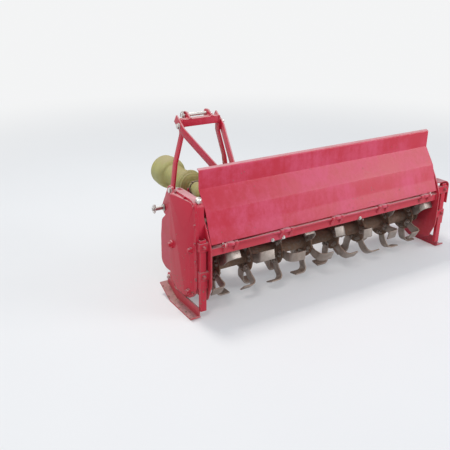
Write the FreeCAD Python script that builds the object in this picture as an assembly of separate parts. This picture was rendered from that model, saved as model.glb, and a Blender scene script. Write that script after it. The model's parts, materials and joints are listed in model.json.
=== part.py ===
import FreeCAD, Part
import math
import os

# Tractor-mounted rotary tiller, side driven, with its rear board folded up.
# All sizes are in millimetres. The model is laid out with X to the right from the
# hitch's centre line, Y forward from the rotor's axis and Z up from the skids' soles.
# At the end it is moved so that the origin is the middle of its footprint on the floor.

# Main sizes
WORK_WIDTH = 1586.0        # between the two side plates
HITCH_TO_LEFT = 190.0      # from the hitch's centre line to the left side plate
PLATE_T = 8.0              # side plates
ROTOR_Z = 205.0            # rotor axis above the floor
DRIVE_Z = 515.0            # input shaft and drive tube above the floor
RUN_GAP = 0.3              # between a turning face and a fixed one
FIT = 0.05                 # radial clearance of a shaft in its bore

# Rotor
TINE_R = 180.0
ROTOR_TUBE_R = 38.0
ROTOR_TUBE_WALL = 6.0
STUB_R = 20.0
HUB_R = 52.0
HUB_T = 14.0
HUB_TO_PLATE = 12.0
FLANGE_COUNT = 8
FLANGE_R = 88.0
FLANGE_T = 8.0
TINES_PER_SIDE = 3
FLANGE_STEP_DEG = 17.0
TINE_T = 8.0
TINE_ROOT_R = 50.0
TINE_REACH = 84.0
TINE_BEND_R = 26.0
TINE_ROOT_W = 42.0
TINE_SWEEP = 26.0

# Deck over the rotor
DECK_T = 5.0
DECK_BEND = 8.0            # inner radius of the deck's folds
DECK_TOP_Z = 445.0
DECK_FLAT_REAR_Y = -62.0
DECK_FLAT_FRONT_Y = 112.0
DECK_REAR_LIP = 18.0       # the deck's rear edge above the rear beam's underside
DECK_FRONT_DROP = 72.0     # the front skirt below the front beam

# Beams, square and rectangular tubes
FRONT_BEAM = 60.0
FRONT_BEAM_Y = 240.0       # its rear face
FRONT_BEAM_Z = 372.0       # its underside
REAR_BEAM_D = 30.0
REAR_BEAM_H = 40.0
REAR_BEAM_Y = -133.0       # its front face
REAR_BEAM_Z = 336.0        # its underside
FRONT_BEAM_WALL = 4.0
REAR_BEAM_WALL = 5.0

# Hitch: lower pins, mast and top link
LOWER_PIN_Y = 356.0
LOWER_PIN_Z = 424.0
LOWER_PIN_SPAN = 500.0     # over the pins' tips
LOWER_PIN_R = 11.0
LOWER_PIN_FREE = 62.0
LOWER_PIN_COLLAR_R = 19.0
LOWER_PIN_COLLAR_T = 8.0
HITCH_PLATE_T = 10.0
MAST_Y = 270.0             # middle of the mast's legs
MAST_TOP_HALF = 113.0      # half the width over the legs at the cross tube
MAST_FOOT_Z = 548.0        # bolt at the foot of each leg
MAST_LEG_W = 38.0
MAST_BEND_Z = 838.0        # below this the legs spread
MAST_KNEE_Z = 690.0        # below this they run steeper to the feet
MAST_KNEE_HALF = 154.0
MAST_LEG_T = 10.0
MAST_FOOT_LAP = 26.0       # the leg's lap on the hitch plate, each way from its bolt
CROSS_Z = 900.0
CROSS_TUBE = 38.0
CROSS_WALL = 4.0
LUG_T = 10.0
LUG_INNER_GAP = 118.0      # between the two inner lugs
TOP_PIN_FORWARD = 42.0     # the link's pin before the cross tube's middle
TOP_PIN_UP = 27.0          # and above it
TOP_PIN_R = 9.5
LUG_EYE_R = 21.0
BOLT_R = 8.0

# Braces from the mast down to the gearbox
BRACE_D = 46.0
BRACE_T = 8.0
BRACE_TOP_Y = 304.0        # middle of the upper end, beyond the mast's legs
BRACE_TOP_Z = 908.0
BRACE_BEND_Y = 236.0       # behind this the braces draw together
BRACE_END_HALF = 46.0      # inner faces at the lower end
BRACE_END_Y = 0.0
BRACE_END_Z = 700.0
BRACE_TAB = 52.0
BRACE_TIP = 14.0           # the bar beyond the middle of its upper end
POST_T = 8.0
POST_REAR = 28.0           # the post's cheek behind the braces' bolt
POST_FRONT = 42.0          # and before it
POST_CAP = 24.0            # and above it

# Gearbox
GEARBOX_HALF_X = 72.0
GEARBOX_REAR_Y = -60.0
GEARBOX_FRONT_Y = 118.0
GEARBOX_TOP_Z = 592.0
GEARBOX_FOOT_T = 14.0
GEARBOX_FOOT_LIP = 22.0
BEARING_BOSS_R = 52.0
GEARBOX_RIBS = (-44.0, 0.0, 44.0)       # middles of the cast ribs on its rear
GEARBOX_RIB_T = 8.0
GEARBOX_RIB_D = 7.0
INPUT_COVER_R = 46.0
INPUT_COVER_T = 16.0
DRIVE_TUBE_R = 38.0
DRIVE_TUBE_WALL = 7.0
DRIVE_FLANGE_R = 60.0
DRIVE_FLANGE_T = 12.0

# Side case with the chain drive
CASE_T = 78.0              # from the left side plate to the cover's face
CASE_TOP_Z = 620.0
CASE_TOP_HALF = 124.0
CASE_LOW_R = 134.0
CASE_CORNER_R = 48.0
CASE_WALL = 8.0
CASE_RIM = 16.0
COVER_FLANGE_T = 8.0
COVER_INSET = 14.0
COVER_RAISE = 24.0
COVER_CHAMFER = 9.0
COVER_REAR_Y = -62.0       # the raised face ends here and slopes back to the rim
COVER_ROOF = ((86.0, 585.0), (-28.0, 455.0))       # (y, z) along the top facet's lower edge
COVER_BOSSES = (           # (y, z, radius, place from the raised face): filler, tensioner, drain
    (84.0, 330.0, 22.0, -8.0), (-90.0, 362.0, 17.0, 12.0), (-76.0, 132.0, 16.0, 6.0),
)
BEARING_R = 62.0
BEARING_T = 46.0

# Skids and their adjustable struts
SKID_W = 50.0
SKID_T = 8.0
SKID_BEND = 24.0
SKID_REAR_Y = -156.0
SKID_FLAT_FRONT_Y = 88.0   # ahead of the machine's centre of mass, so that it stands level
SKID_KNEE_Y = 132.0
SKID_KNEE_Z = 20.0
SKID_TIP_Y = 206.0
SKID_TIP_Z = 58.0
SKID_WEB_H = 62.0
SKID_BOLT_Y = 170.0        # front fixing on the side plate
SKID_BOLT_Z = 102.0
SKID_BOLT_R = 16.0
SKID_LUG_R = 24.0
LEFT_STRUT_GAP = 11.0      # from the left plate's outer face to its strut, behind the case
RIGHT_STRUT_GAP = 42.0     # from the right plate's outer face to its strut
STRAP_R = 40.0             # bend of the strap over the right strut
STRAP_TOP_Z = 446.0
STRAP_OUT = 14.0           # the strap outside the clamp
STRAP_LOW_Z = 300.0
STRAP_FRONT_Y = -96.0
SLEEVE_T = 4.0
SLEEVE_LOW_Z = 168.0
SLEEVE_TOP_Z = 262.0
STRUT_W = 34.0
STRUT_D = 20.0
STRUT_WALL = 4.0
STRUT_Y = -146.0
STRUT_FOOT_Z = 42.0
STRUT_TOP_Z = 430.0
CLAMP_PLACES = (236.0, 392.0)
CLAMP_H = 44.0
CLAMP_T = 5.0
CLAMP_FRONT_Y = -128.0      # front of the left clamps' leg on the side plate, behind the case

# Rear board, folded up, and its hinge
BOARD_T = 4.0
BOARD_BEND = 7.0           # inner radius of the board's folds
BOARD_SIDE_GAP = 6.0
HINGE_BACK = 8.0           # the hinge's axis behind the rear beam
HINGE_UP = 9.0             # and above its top
BOARD_FOOT_UP = 12.0       # the board's lower edge above the hinge's axis
HINGE_ROD_R = 6.0
KNUCKLE_R = 11.0
KNUCKLE_LEN = 40.0
KNUCKLE_COUNT = 5
LEAF_T = 5.0
RIB_T = 6.0
RIB_D = 24.0
STOP_PLACES = ((-31.0, 588.0), (-101.0, 467.0))     # (side plate's edge y, z)
STOP_T = 8.0
STOP_W = 34.0

# Driveline from the gearbox forward to the tractor's side
SHAFT_R = 17.5
YOKE_R = 27.0
TUBE_R = 22.0              # the telescopic tube between the joints
TUBE_WALL = 5.0
FORK_BASE = 12.0           # the solid root of the tube's own forks
EAR_IN = 21.0
EAR_OUT = 31.0
EAR_R = 15.0
CROSS_R = 7.5
JOINT_REAR_Y = 232.0
JOINT_FRONT_Y = 700.0
YOKE_HUB_LEN = 46.0
EAR_LEN = 30.0
FRONT_YOKE_LEN = 110.0
GUARD_R = 33.0
GUARD_WALL = 3.0
GUARD_BEARING = 12.0       # length of the rings that the guard turns on
GUARD_REAR_Y = 302.0
GUARD_FRONT_Y = 610.0
REAR_CONE_R = 70.0
REAR_CONE_Y = 162.0
FRONT_CONE_R = 92.0
FRONT_CONE_Y = 712.0
CONE_WALL = 3.0
CONE_GRIP = 26.0
CONE_SHAPE = ((0.0, 0.0), (0.5, 0.68), (1.0, 1.0))     # (share of length, share of flare)
REST_T = 8.0

# Places that follow from the sizes above
LEFT_IN = -HITCH_TO_LEFT
LEFT_OUT = LEFT_IN - PLATE_T
RIGHT_IN = LEFT_IN + WORK_WIDTH
RIGHT_OUT = RIGHT_IN + PLATE_T
CASE_FACE = LEFT_OUT - CASE_T
FRONT_BEAM_TOP = FRONT_BEAM_Z + FRONT_BEAM
TOP_PIN_Y = MAST_Y + TOP_PIN_FORWARD
TOP_PIN_Z = CROSS_Z + TOP_PIN_UP
REAR_BEAM_TOP = REAR_BEAM_Z + REAR_BEAM_H
REAR_BEAM_BACK = REAR_BEAM_Y - REAR_BEAM_D
HINGE_Y = REAR_BEAM_BACK - HINGE_BACK
HINGE_Z = REAR_BEAM_TOP + HINGE_UP


def vec(x, y, z):
    return FreeCAD.Vector(x, y, z)


def box(x0, x1, y0, y1, z0, z1):
    return Part.makeBox(x1 - x0, y1 - y0, z1 - z0, vec(x0, y0, z0))


def rod(start, end, r):
    """A round bar between two points."""
    a, b = vec(*start), vec(*end)
    return Part.makeCylinder(r, (b - a).Length, a, b - a)


def fuse(shapes):
    solid = shapes[0].multiFuse(shapes[1:]) if len(shapes) > 1 else shapes[0]
    return solid.removeSplitter()


def outline(points, place):
    """A closed wire through (a, b) or (a, b, corner radius), each point placed by place(a, b)."""
    corners = [(p[0], p[1], p[2] if len(p) > 2 else 0.0) for p in points]
    ends = []
    for i, (a, b, r) in enumerate(corners):
        if r == 0.0:
            ends.append(((a, b), None, (a, b)))
            continue
        pa, pb = corners[i - 1][:2]
        na, nb = corners[(i + 1) % len(corners)][:2]
        ua, ub = pa - a, pb - b
        va, vb = na - a, nb - b
        lu, lv = math.hypot(ua, ub), math.hypot(va, vb)
        ua, ub, va, vb = ua / lu, ub / lu, va / lv, vb / lv
        half = math.acos(max(-1.0, min(1.0, ua * va + ub * vb))) / 2
        t = min(r / math.tan(half), 0.49 * lu, 0.49 * lv)
        r = t * math.tan(half)
        ma, mb = ua + va, ub + vb
        lm = math.hypot(ma, mb)
        reach = r / math.sin(half) - r
        mid = (a + ma / lm * reach, b + mb / lm * reach)
        ends.append(((a + ua * t, b + ub * t), mid, (a + va * t, b + vb * t)))
    edges = []
    for i, (enter, mid, leave) in enumerate(ends):
        if mid:
            edges.append(Part.Arc(place(*enter), place(*mid), place(*leave)).toShape())
        nxt = ends[(i + 1) % len(ends)][0]
        if math.hypot(nxt[0] - leave[0], nxt[1] - leave[1]) > 1e-6:
            edges.append(Part.LineSegment(place(*leave), place(*nxt)).toShape())
    return Part.Wire(edges)


def plate_x(points, x0, x1):
    """A plate from an outline of (y, z) points, between two places along X."""
    face = Part.Face(outline(points, lambda y, z: vec(x0, y, z)))
    return face.extrude(vec(x1 - x0, 0, 0))


def plate_y(points, y0, y1):
    """A plate from an outline of (x, z) points, between two places along Y."""
    face = Part.Face(outline(points, lambda x, z: vec(x, y0, z)))
    return face.extrude(vec(0, y1 - y0, 0))


def turned_y(points, x, z):
    """A turned piece about a line along Y, from (radius, y) points."""
    face = Part.Face(outline(points, lambda r, y: vec(x + r, y, z)))
    return face.revolve(vec(x, 0, z), vec(0, 1, 0), 360)


def turned_x(points, y, z):
    """A turned piece about a line along X, from (radius, x) points."""
    face = Part.Face(outline(points, lambda r, x: vec(x, y + r, z)))
    return face.revolve(vec(0, y, z), vec(1, 0, 0), 360)


def folded_sheet(path, thickness, bend):
    """The outline of a folded sheet: a path of (y, z) points, thickened to its right, with rounded bends."""
    side, inner = [], []
    for i, (y, z) in enumerate(path):
        normals = []
        for j in (i - 1, i):
            if 0 <= j < len(path) - 1:
                dy, dz = path[j + 1][0] - path[j][0], path[j + 1][1] - path[j][1]
                length = math.hypot(dy, dz)
                normals.append((dz / length, -dy / length))
        ny = sum(n[0] for n in normals) / len(normals)
        nz = sum(n[1] for n in normals) / len(normals)
        scale = thickness / (ny * ny + nz * nz)
        left_turn = len(normals) == 2 and normals[0][0] * normals[1][1] > normals[0][1] * normals[1][0]
        tight, wide = (bend, bend + thickness) if len(normals) == 2 else (0.0, 0.0)
        side.append((y, z, tight if left_turn else wide))
        inner.append((y + ny * scale, z + nz * scale, wide if left_turn else tight))
    return side + inner[::-1]


def mirrored_x(shape, x):
    return shape.mirror(vec(x, 0, 0), vec(1, 0, 0))


# Deck, side plates and beams

def make_deck():
    path = [
        (REAR_BEAM_Y, REAR_BEAM_Z + DECK_REAR_LIP),
        (REAR_BEAM_Y, REAR_BEAM_TOP),
        (DECK_FLAT_REAR_Y, DECK_TOP_Z),
        (DECK_FLAT_FRONT_Y, DECK_TOP_Z),
        (FRONT_BEAM_Y, FRONT_BEAM_TOP),
        (FRONT_BEAM_Y, FRONT_BEAM_Z - DECK_FRONT_DROP),
    ]
    return plate_x(folded_sheet(path, DECK_T, DECK_BEND), LEFT_IN, RIGHT_IN)


SIDE_OUTLINE = [           # (y, z, corner radius), from the rear foot round by the top
    (-136, 78, 40), (-166, 182, 90), (-152, 340, 60), (-130, 400, 60), (-101, 467, 90),
    (-31, 588, 60), (10, 607, 60), (150, 607, 90), (290, 470, 60), (306, 400, 30),
    (352, 362, 40), (370, 262, 80), (374, 100, 60), (320, 78, 40),
]


def make_side_plate(x0, x1):
    plate = plate_x(SIDE_OUTLINE, x0, x1)
    return plate.cut(rod((x0, 0, ROTOR_Z), (x1, 0, ROTOR_Z), STUB_R + 2 * CASE_WALL))


def make_tube_x(y0, y1, z0, z1, wall, x0, x1):
    outer = box(x0, x1, y0, y1, z0, z1)
    return outer.cut(box(x0, x1, y0 + wall, y1 - wall, z0 + wall, z1 - wall))


def make_front_beam():
    return make_tube_x(FRONT_BEAM_Y, FRONT_BEAM_Y + FRONT_BEAM, FRONT_BEAM_Z, FRONT_BEAM_TOP,
                       FRONT_BEAM_WALL, LEFT_IN, RIGHT_IN)


def make_rear_beam():
    return make_tube_x(REAR_BEAM_Y - REAR_BEAM_D, REAR_BEAM_Y, REAR_BEAM_Z, REAR_BEAM_TOP,
                       REAR_BEAM_WALL, LEFT_IN, RIGHT_IN)


# Hitch

LOWER_PIN_ROOT = LOWER_PIN_SPAN / 2 - LOWER_PIN_FREE       # the collar's outer face
HITCH_PLATE_X = LOWER_PIN_ROOT - LOWER_PIN_COLLAR_T - HITCH_PLATE_T


def make_hitch_plate(side):
    beam_front = FRONT_BEAM_Y + FRONT_BEAM
    points = [
        (beam_front, FRONT_BEAM_Z), (LOWER_PIN_Y + 8, LOWER_PIN_Z - 32, 18),
        (LOWER_PIN_Y + 28, LOWER_PIN_Z, 26), (LOWER_PIN_Y + 8, LOWER_PIN_Z + 34, 24),
        (MAST_Y + 26, MAST_FOOT_Z + 22, 20), (MAST_Y - 24, MAST_FOOT_Z + 22, 20),
        (MAST_Y - 28, FRONT_BEAM_TOP), (beam_front, FRONT_BEAM_TOP),
    ]
    plate = plate_x(points, HITCH_PLATE_X, HITCH_PLATE_X + HITCH_PLATE_T)
    ends = HITCH_PLATE_X - 1, HITCH_PLATE_X + HITCH_PLATE_T + 1
    plate = plate.cut(rod((ends[0], MAST_Y, MAST_FOOT_Z), (ends[1], MAST_Y, MAST_FOOT_Z), BOLT_R))
    return plate if side > 0 else mirrored_x(plate, 0)


def make_hitch_pins():
    root = HITCH_PLATE_X + HITCH_PLATE_T
    shank = rod((root, LOWER_PIN_Y, LOWER_PIN_Z), (LOWER_PIN_SPAN / 2, LOWER_PIN_Y, LOWER_PIN_Z),
                LOWER_PIN_R)
    collar = rod((root, LOWER_PIN_Y, LOWER_PIN_Z),
                 (root + LOWER_PIN_COLLAR_T, LOWER_PIN_Y, LOWER_PIN_Z), LOWER_PIN_COLLAR_R)
    inner = HITCH_PLATE_X
    nut = Part.Face(Part.makePolygon([
        vec(inner, LOWER_PIN_Y + 17 * math.cos(math.radians(60 * i)),
            LOWER_PIN_Z + 17 * math.sin(math.radians(60 * i))) for i in range(7)]))
    nut = nut.extrude(vec(-14, 0, 0))
    pin = fuse([shank, collar])
    return Part.makeCompound([pin, mirrored_x(pin, 0), nut, mirrored_x(nut, 0)])


def make_mast_leg(side):
    """A flat bar, straight beside the cross tube, then bent outwards down to the hitch plate's foot bolt."""
    face = [(HITCH_PLATE_X, MAST_FOOT_Z - MAST_FOOT_LAP), (HITCH_PLATE_X, MAST_FOOT_Z + MAST_FOOT_LAP),
            (MAST_KNEE_HALF, MAST_KNEE_Z), (MAST_TOP_HALF, MAST_BEND_Z),
            (MAST_TOP_HALF, CROSS_Z + CROSS_TUBE / 2)]
    points = face + [(x - MAST_LEG_T, z) for x, z in reversed(face)]
    leg = plate_y(points, MAST_Y - MAST_LEG_W / 2, MAST_Y + MAST_LEG_W / 2)
    leg = leg.cut(rod((HITCH_PLATE_X - 2 * MAST_LEG_T, MAST_Y, MAST_FOOT_Z),
                      (HITCH_PLATE_X + MAST_LEG_T, MAST_Y, MAST_FOOT_Z), BOLT_R))
    return leg if side > 0 else mirrored_x(leg, 0)


def make_cross_tube():
    half = MAST_TOP_HALF - MAST_LEG_T
    return make_tube_x(MAST_Y - CROSS_TUBE / 2, MAST_Y + CROSS_TUBE / 2,
                       CROSS_Z - CROSS_TUBE / 2, CROSS_Z + CROSS_TUBE / 2,
                       CROSS_WALL, -half, half)


def make_top_lugs():
    """The two plates on the cross tube that hold the link's pin."""
    rear, front = MAST_Y - CROSS_TUBE / 2, MAST_Y + CROSS_TUBE / 2
    low, top = CROSS_Z - CROSS_TUBE / 2, CROSS_Z + CROSS_TUBE / 2
    points = [(front, low), (TOP_PIN_Y + LUG_EYE_R, TOP_PIN_Z - LUG_EYE_R - 6, 14),
              (TOP_PIN_Y + LUG_EYE_R, TOP_PIN_Z + LUG_EYE_R, LUG_EYE_R),
              (TOP_PIN_Y - LUG_EYE_R, TOP_PIN_Z + LUG_EYE_R, LUG_EYE_R),
              (rear, top + 4, 6), (rear, top), (front, top)]
    x0 = LUG_INNER_GAP / 2
    plate = plate_x(points, x0, x0 + LUG_T)
    plate = plate.cut(rod((x0 - 1, TOP_PIN_Y, TOP_PIN_Z), (x0 + LUG_T + 1, TOP_PIN_Y, TOP_PIN_Z),
                          TOP_PIN_R + FIT))
    return Part.makeCompound([plate, mirrored_x(plate, 0)])


def make_top_pin():
    half = LUG_INNER_GAP / 2 + LUG_T
    pin = rod((-half - 16, TOP_PIN_Y, TOP_PIN_Z), (half + 3, TOP_PIN_Y, TOP_PIN_Z), TOP_PIN_R)
    head = rod((half + RUN_GAP, TOP_PIN_Y, TOP_PIN_Z), (half + 8, TOP_PIN_Y, TOP_PIN_Z),
               1.6 * TOP_PIN_R)
    return fuse([pin, head])


def make_brace(side):
    """A flat bar on edge along the mast's leg, bent behind it and again at the gearbox's post."""
    start = vec(MAST_TOP_HALF, BRACE_TOP_Y, BRACE_TOP_Z)
    end = vec(BRACE_END_HALF, BRACE_END_Y, BRACE_END_Z)
    run = math.hypot(end.y - start.y, end.z - start.z)
    along = vec(0, (end.y - start.y) / run, (end.z - start.z) / run)
    across = vec(0, -along.z, along.y)
    bend = (BRACE_BEND_Y - BRACE_TOP_Y) / along.y
    tab = BRACE_TAB / 2

    def place(s, x):
        return vec(x, start.y, start.z) + along * s

    inner = [(-BRACE_TIP, start.x), (bend, start.x), (run - tab, end.x), (run + tab, end.x)]
    outer = [(s, x + BRACE_T) for s, x in inner]
    face = Part.Face(outline(inner + outer[::-1], place))
    face.translate(across * (-BRACE_D / 2))
    brace = face.extrude(across * BRACE_D)
    brace = brace.cut(rod((end.x - 1, end.y, end.z), (end.x + BRACE_T + 1, end.y, end.z), BOLT_R))
    return brace if side > 0 else mirrored_x(brace, 0)


def make_brace_post():
    """A folded bracket on the gearbox's top that the two braces bolt to."""
    half = BRACE_END_HALF
    rear, front = BRACE_END_Y - POST_REAR, BRACE_END_Y + POST_FRONT
    top = BRACE_END_Z + POST_CAP
    side = [(rear, GEARBOX_TOP_Z), (front, GEARBOX_TOP_Z), (front - 10, BRACE_END_Z, POST_CAP),
            (BRACE_END_Y + POST_CAP, top, POST_CAP), (BRACE_END_Y - POST_CAP, top, POST_CAP)]
    cheek = plate_x(side, half - POST_T, half)
    cheek = cheek.cut(rod((half - POST_T - 1, BRACE_END_Y, BRACE_END_Z),
                          (half + 1, BRACE_END_Y, BRACE_END_Z), BOLT_R))
    sole = box(-half + POST_T, half - POST_T, rear, front, GEARBOX_TOP_Z, GEARBOX_TOP_Z + POST_T)
    web = box(-half + POST_T, half - POST_T, rear, rear + POST_T, GEARBOX_TOP_Z, BRACE_END_Z - POST_CAP)
    return fuse([cheek, mirrored_x(cheek, 0), sole, web])


# Gearbox and drive tube

def make_gearbox():
    half = GEARBOX_HALF_X
    foot = plate_y([(-half - GEARBOX_FOOT_LIP, DECK_TOP_Z), (half + GEARBOX_FOOT_LIP, DECK_TOP_Z),
                    (half + GEARBOX_FOOT_LIP, DECK_TOP_Z + GEARBOX_FOOT_T),
                    (-half - GEARBOX_FOOT_LIP, DECK_TOP_Z + GEARBOX_FOOT_T)],
                   DECK_FLAT_REAR_Y + 4, DECK_FLAT_FRONT_Y - 4)
    body = plate_x([(GEARBOX_REAR_Y + 6, DECK_TOP_Z + GEARBOX_FOOT_T), (GEARBOX_REAR_Y, DRIVE_Z, 30),
                    (GEARBOX_REAR_Y + 8, GEARBOX_TOP_Z, 26), (BEARING_BOSS_R + 8, GEARBOX_TOP_Z, 26),
                    (GEARBOX_FRONT_Y - 22, DRIVE_Z + BEARING_BOSS_R, 20),
                    (GEARBOX_FRONT_Y - 22, DECK_TOP_Z + GEARBOX_FOOT_T)], -half, half)
    nose = turned_y([(0, 0), (BEARING_BOSS_R, 0), (BEARING_BOSS_R, GEARBOX_FRONT_Y),
                     (0, GEARBOX_FRONT_Y)], 0, DRIVE_Z)
    left = turned_x([(0, 0), (BEARING_BOSS_R, 0), (BEARING_BOSS_R, -half - 14), (0, -half - 14)],
                    0, DRIVE_Z)
    right = turned_x([(0, 0), (BEARING_BOSS_R - 6, 0), (BEARING_BOSS_R - 6, half + 10), (0, half + 10)],
                     0, DRIVE_Z)
    ribs = [box(x - GEARBOX_RIB_T / 2, x + GEARBOX_RIB_T / 2, GEARBOX_REAR_Y - GEARBOX_RIB_D, 0,
                DECK_TOP_Z + GEARBOX_FOOT_T, DRIVE_Z + BEARING_BOSS_R) for x in GEARBOX_RIBS]
    return fuse([foot, body, nose, left, right] + ribs)


def make_gearbox_cover():
    """The seal cover round the input shaft."""
    y = GEARBOX_FRONT_Y
    bore = SHAFT_R + FIT
    return turned_y([(bore, y), (INPUT_COVER_R, y), (INPUT_COVER_R, y + 7), (INPUT_COVER_R - 3, y + 10),
                     (bore + 16, y + 10), (bore + 11, y + INPUT_COVER_T),
                     (bore, y + INPUT_COVER_T)], 0, DRIVE_Z)


def make_drive_tube():
    """The tube round the cross shaft, from the gearbox to the left side plate."""
    x0, x1 = LEFT_IN, -GEARBOX_HALF_X - 14
    r0, r1 = DRIVE_TUBE_R - DRIVE_TUBE_WALL, DRIVE_TUBE_R
    return turned_x([(r0, x0), (DRIVE_FLANGE_R, x0), (DRIVE_FLANGE_R, x0 + DRIVE_FLANGE_T),
                     (r1 + 5, x0 + DRIVE_FLANGE_T), (r1, x0 + DRIVE_FLANGE_T + 5),
                     (r1, x1 - DRIVE_FLANGE_T), (BEARING_BOSS_R, x1 - DRIVE_FLANGE_T),
                     (BEARING_BOSS_R, x1), (r0, x1)], 0, DRIVE_Z)


# Side case and rotor bearings

def case_outline(shrink):
    """The case's outline: a rounded top over a round foot about the rotor's axis."""
    low = CASE_LOW_R - shrink
    top = CASE_TOP_HALF - shrink
    corner = max(CASE_CORNER_R - shrink, 4.0)
    side = 0.42 * low
    return [(-low, ROTOR_Z - side, low * 0.7), (-low, ROTOR_Z + side, low),
            (-top, CASE_TOP_Z - shrink, corner), (top, CASE_TOP_Z - shrink, corner),
            (low, ROTOR_Z + side, low), (low, ROTOR_Z - side, low * 0.7),
            (side, ROTOR_Z - low, low * 0.7), (-side, ROTOR_Z - low, low * 0.7)]


def make_side_case():
    outer = CASE_FACE + COVER_FLANGE_T + COVER_RAISE
    body = plate_x(case_outline(CASE_RIM - CASE_WALL), outer, LEFT_OUT)
    rim = plate_x(case_outline(0), outer, outer + 10)
    hollow = plate_x(case_outline(CASE_RIM), outer, LEFT_OUT - CASE_WALL)
    seat = rod((LEFT_OUT - CASE_WALL - 18, 0, ROTOR_Z), (LEFT_OUT, 0, ROTOR_Z), STUB_R + 16)
    case = fuse([body.fuse(rim).cut(hollow), seat])
    bore = rod((outer, 0, ROTOR_Z), (LEFT_OUT + 1, 0, ROTOR_Z), STUB_R + FIT)
    return case.cut(bore)


def beyond(p, q, r, size):
    """A block on the outer, left-hand side of the plane through three points."""
    normal = (q - p).cross(r - p)
    if normal.x > 0:
        normal = normal * -1
    block = Part.makeBox(size, size, size, vec(-size / 2, -size / 2, 0))
    block.Placement = FreeCAD.Placement((p + q + r) * (1 / 3), FreeCAD.Rotation(vec(0, 0, 1), normal))
    return block


def make_case_cover():
    """The cover: a flange on the case's rim and a raised field with a sloping top and rear side."""
    face, base = CASE_FACE, CASE_FACE + COVER_RAISE
    flange = plate_x(case_outline(0), base, base + COVER_FLANGE_T)
    field = plate_x(case_outline(COVER_INSET), face, base)
    rim = [edge for edge in field.Edges if edge.BoundBox.XMax < face + 0.01]
    field = field.makeChamfer(COVER_CHAMFER, rim)
    (y0, z0), (y1, z1) = COVER_ROOF
    rear = -(CASE_TOP_HALF - COVER_INSET)
    size = 4 * CASE_TOP_Z
    roof = beyond(vec(face, y0, z0), vec(face, y1, z1), vec(base, rear, CASE_TOP_Z - COVER_INSET), size)
    side = beyond(vec(face, COVER_REAR_Y, 0), vec(face, COVER_REAR_Y, 1), vec(base, rear, 0), size)
    bosses = [rod((base, y, z), (face + out, y, z), r) for y, z, r, out in COVER_BOSSES]
    return fuse([flange, field.cut(roof).cut(side)] + bosses)


def make_right_bearing():
    """The flanged bearing housing outside the right side plate."""
    x0, x1 = RIGHT_OUT, RIGHT_OUT + BEARING_T
    bore = STUB_R + FIT
    return turned_x([(bore, x0), (BEARING_R, x0), (BEARING_R, x0 + 12), (BEARING_R - 16, x0 + 14),
                     (BEARING_R - 20, x1 - 6), (BEARING_R - 26, x1), (0, x1), (0, x1 - 8),
                     (bore, x1 - 8)], 0, ROTOR_Z)


# Skids

def skid_path():
    return [(SKID_REAR_Y, 14), (SKID_REAR_Y + 16, 0), (SKID_FLAT_FRONT_Y, 0),
            (SKID_KNEE_Y, SKID_KNEE_Z), (SKID_TIP_Y, SKID_TIP_Z)]


def make_skid(web_x, side):
    """A sole with an upturned nose, and a web along its inner edge with a lug for the front bolt."""
    x0, x1 = (web_x - SKID_W, web_x) if side < 0 else (web_x, web_x + SKID_W)
    sole = plate_x(folded_sheet(skid_path()[::-1], SKID_T, SKID_BEND), x0, x1)
    inner = (x1 - SKID_T, x1) if side < 0 else (x0, x0 + SKID_T)
    mid = SKID_T / 2
    lug_front = SKID_BOLT_Y + SKID_LUG_R
    nose_slope = (SKID_TIP_Z - SKID_KNEE_Z) / (SKID_TIP_Y - SKID_KNEE_Y)
    web = plate_x([
        (SKID_REAR_Y + 8, 12), (SKID_REAR_Y + 16, mid), (SKID_FLAT_FRONT_Y, mid),
        (SKID_KNEE_Y, SKID_KNEE_Z + mid), (lug_front, SKID_KNEE_Z + nose_slope * (lug_front - SKID_KNEE_Y) + mid),
        (lug_front, SKID_BOLT_Z + SKID_LUG_R, SKID_LUG_R),
        (SKID_BOLT_Y - SKID_LUG_R, SKID_BOLT_Z + SKID_LUG_R, SKID_LUG_R),
        (SKID_FLAT_FRONT_Y + SKID_LUG_R, SKID_WEB_H, SKID_LUG_R), (SKID_REAR_Y + 8, SKID_WEB_H, 10)], *inner)
    return fuse([sole, web])


LEFT_WEB_X = LEFT_OUT - LEFT_STRUT_GAP - STRUT_W       # where the left skid's web meets its strut
RIGHT_STRUT_X = RIGHT_OUT + RIGHT_STRUT_GAP
RIGHT_WEB_X = RIGHT_STRUT_X + STRUT_W


def make_skid_mounts():
    """Spacer tubes that carry each skid's nose from its side plate."""
    places = ((LEFT_WEB_X, LEFT_OUT), (RIGHT_OUT, RIGHT_WEB_X))
    return Part.makeCompound([
        rod((x0, SKID_BOLT_Y, SKID_BOLT_Z), (x1, SKID_BOLT_Y, SKID_BOLT_Z), SKID_BOLT_R) for x0, x1 in places])


def make_strut(x0):
    """A channel that sets the skid's depth, open to the front."""
    y0, y1 = STRUT_Y - STRUT_D / 2, STRUT_Y + STRUT_D / 2
    outer = box(x0, x0 + STRUT_W, y0, y1, STRUT_FOOT_Z, STRUT_TOP_Z)
    inner = box(x0 + STRUT_WALL, x0 + STRUT_W - STRUT_WALL, y0 + STRUT_WALL, y1,
                STRUT_FOOT_Z, STRUT_TOP_Z)
    return outer.cut(inner)


def make_strap():
    """The round-cornered strap over the right strut, from the side plate's rear edge down its outer side."""
    x1 = RIGHT_WEB_X + CLAMP_T + STRAP_OUT
    t = CLAMP_T
    points = [(RIGHT_OUT, STRAP_TOP_Z), (x1, STRAP_TOP_Z, STRAP_R), (x1, STRAP_LOW_Z), (x1 - t, STRAP_LOW_Z),
              (x1 - t, STRAP_TOP_Z - t, STRAP_R - t), (RIGHT_OUT, STRAP_TOP_Z - t)]
    return plate_y(points, STRUT_Y - STRUT_D / 2 - CLAMP_T, STRAP_FRONT_Y)


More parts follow.
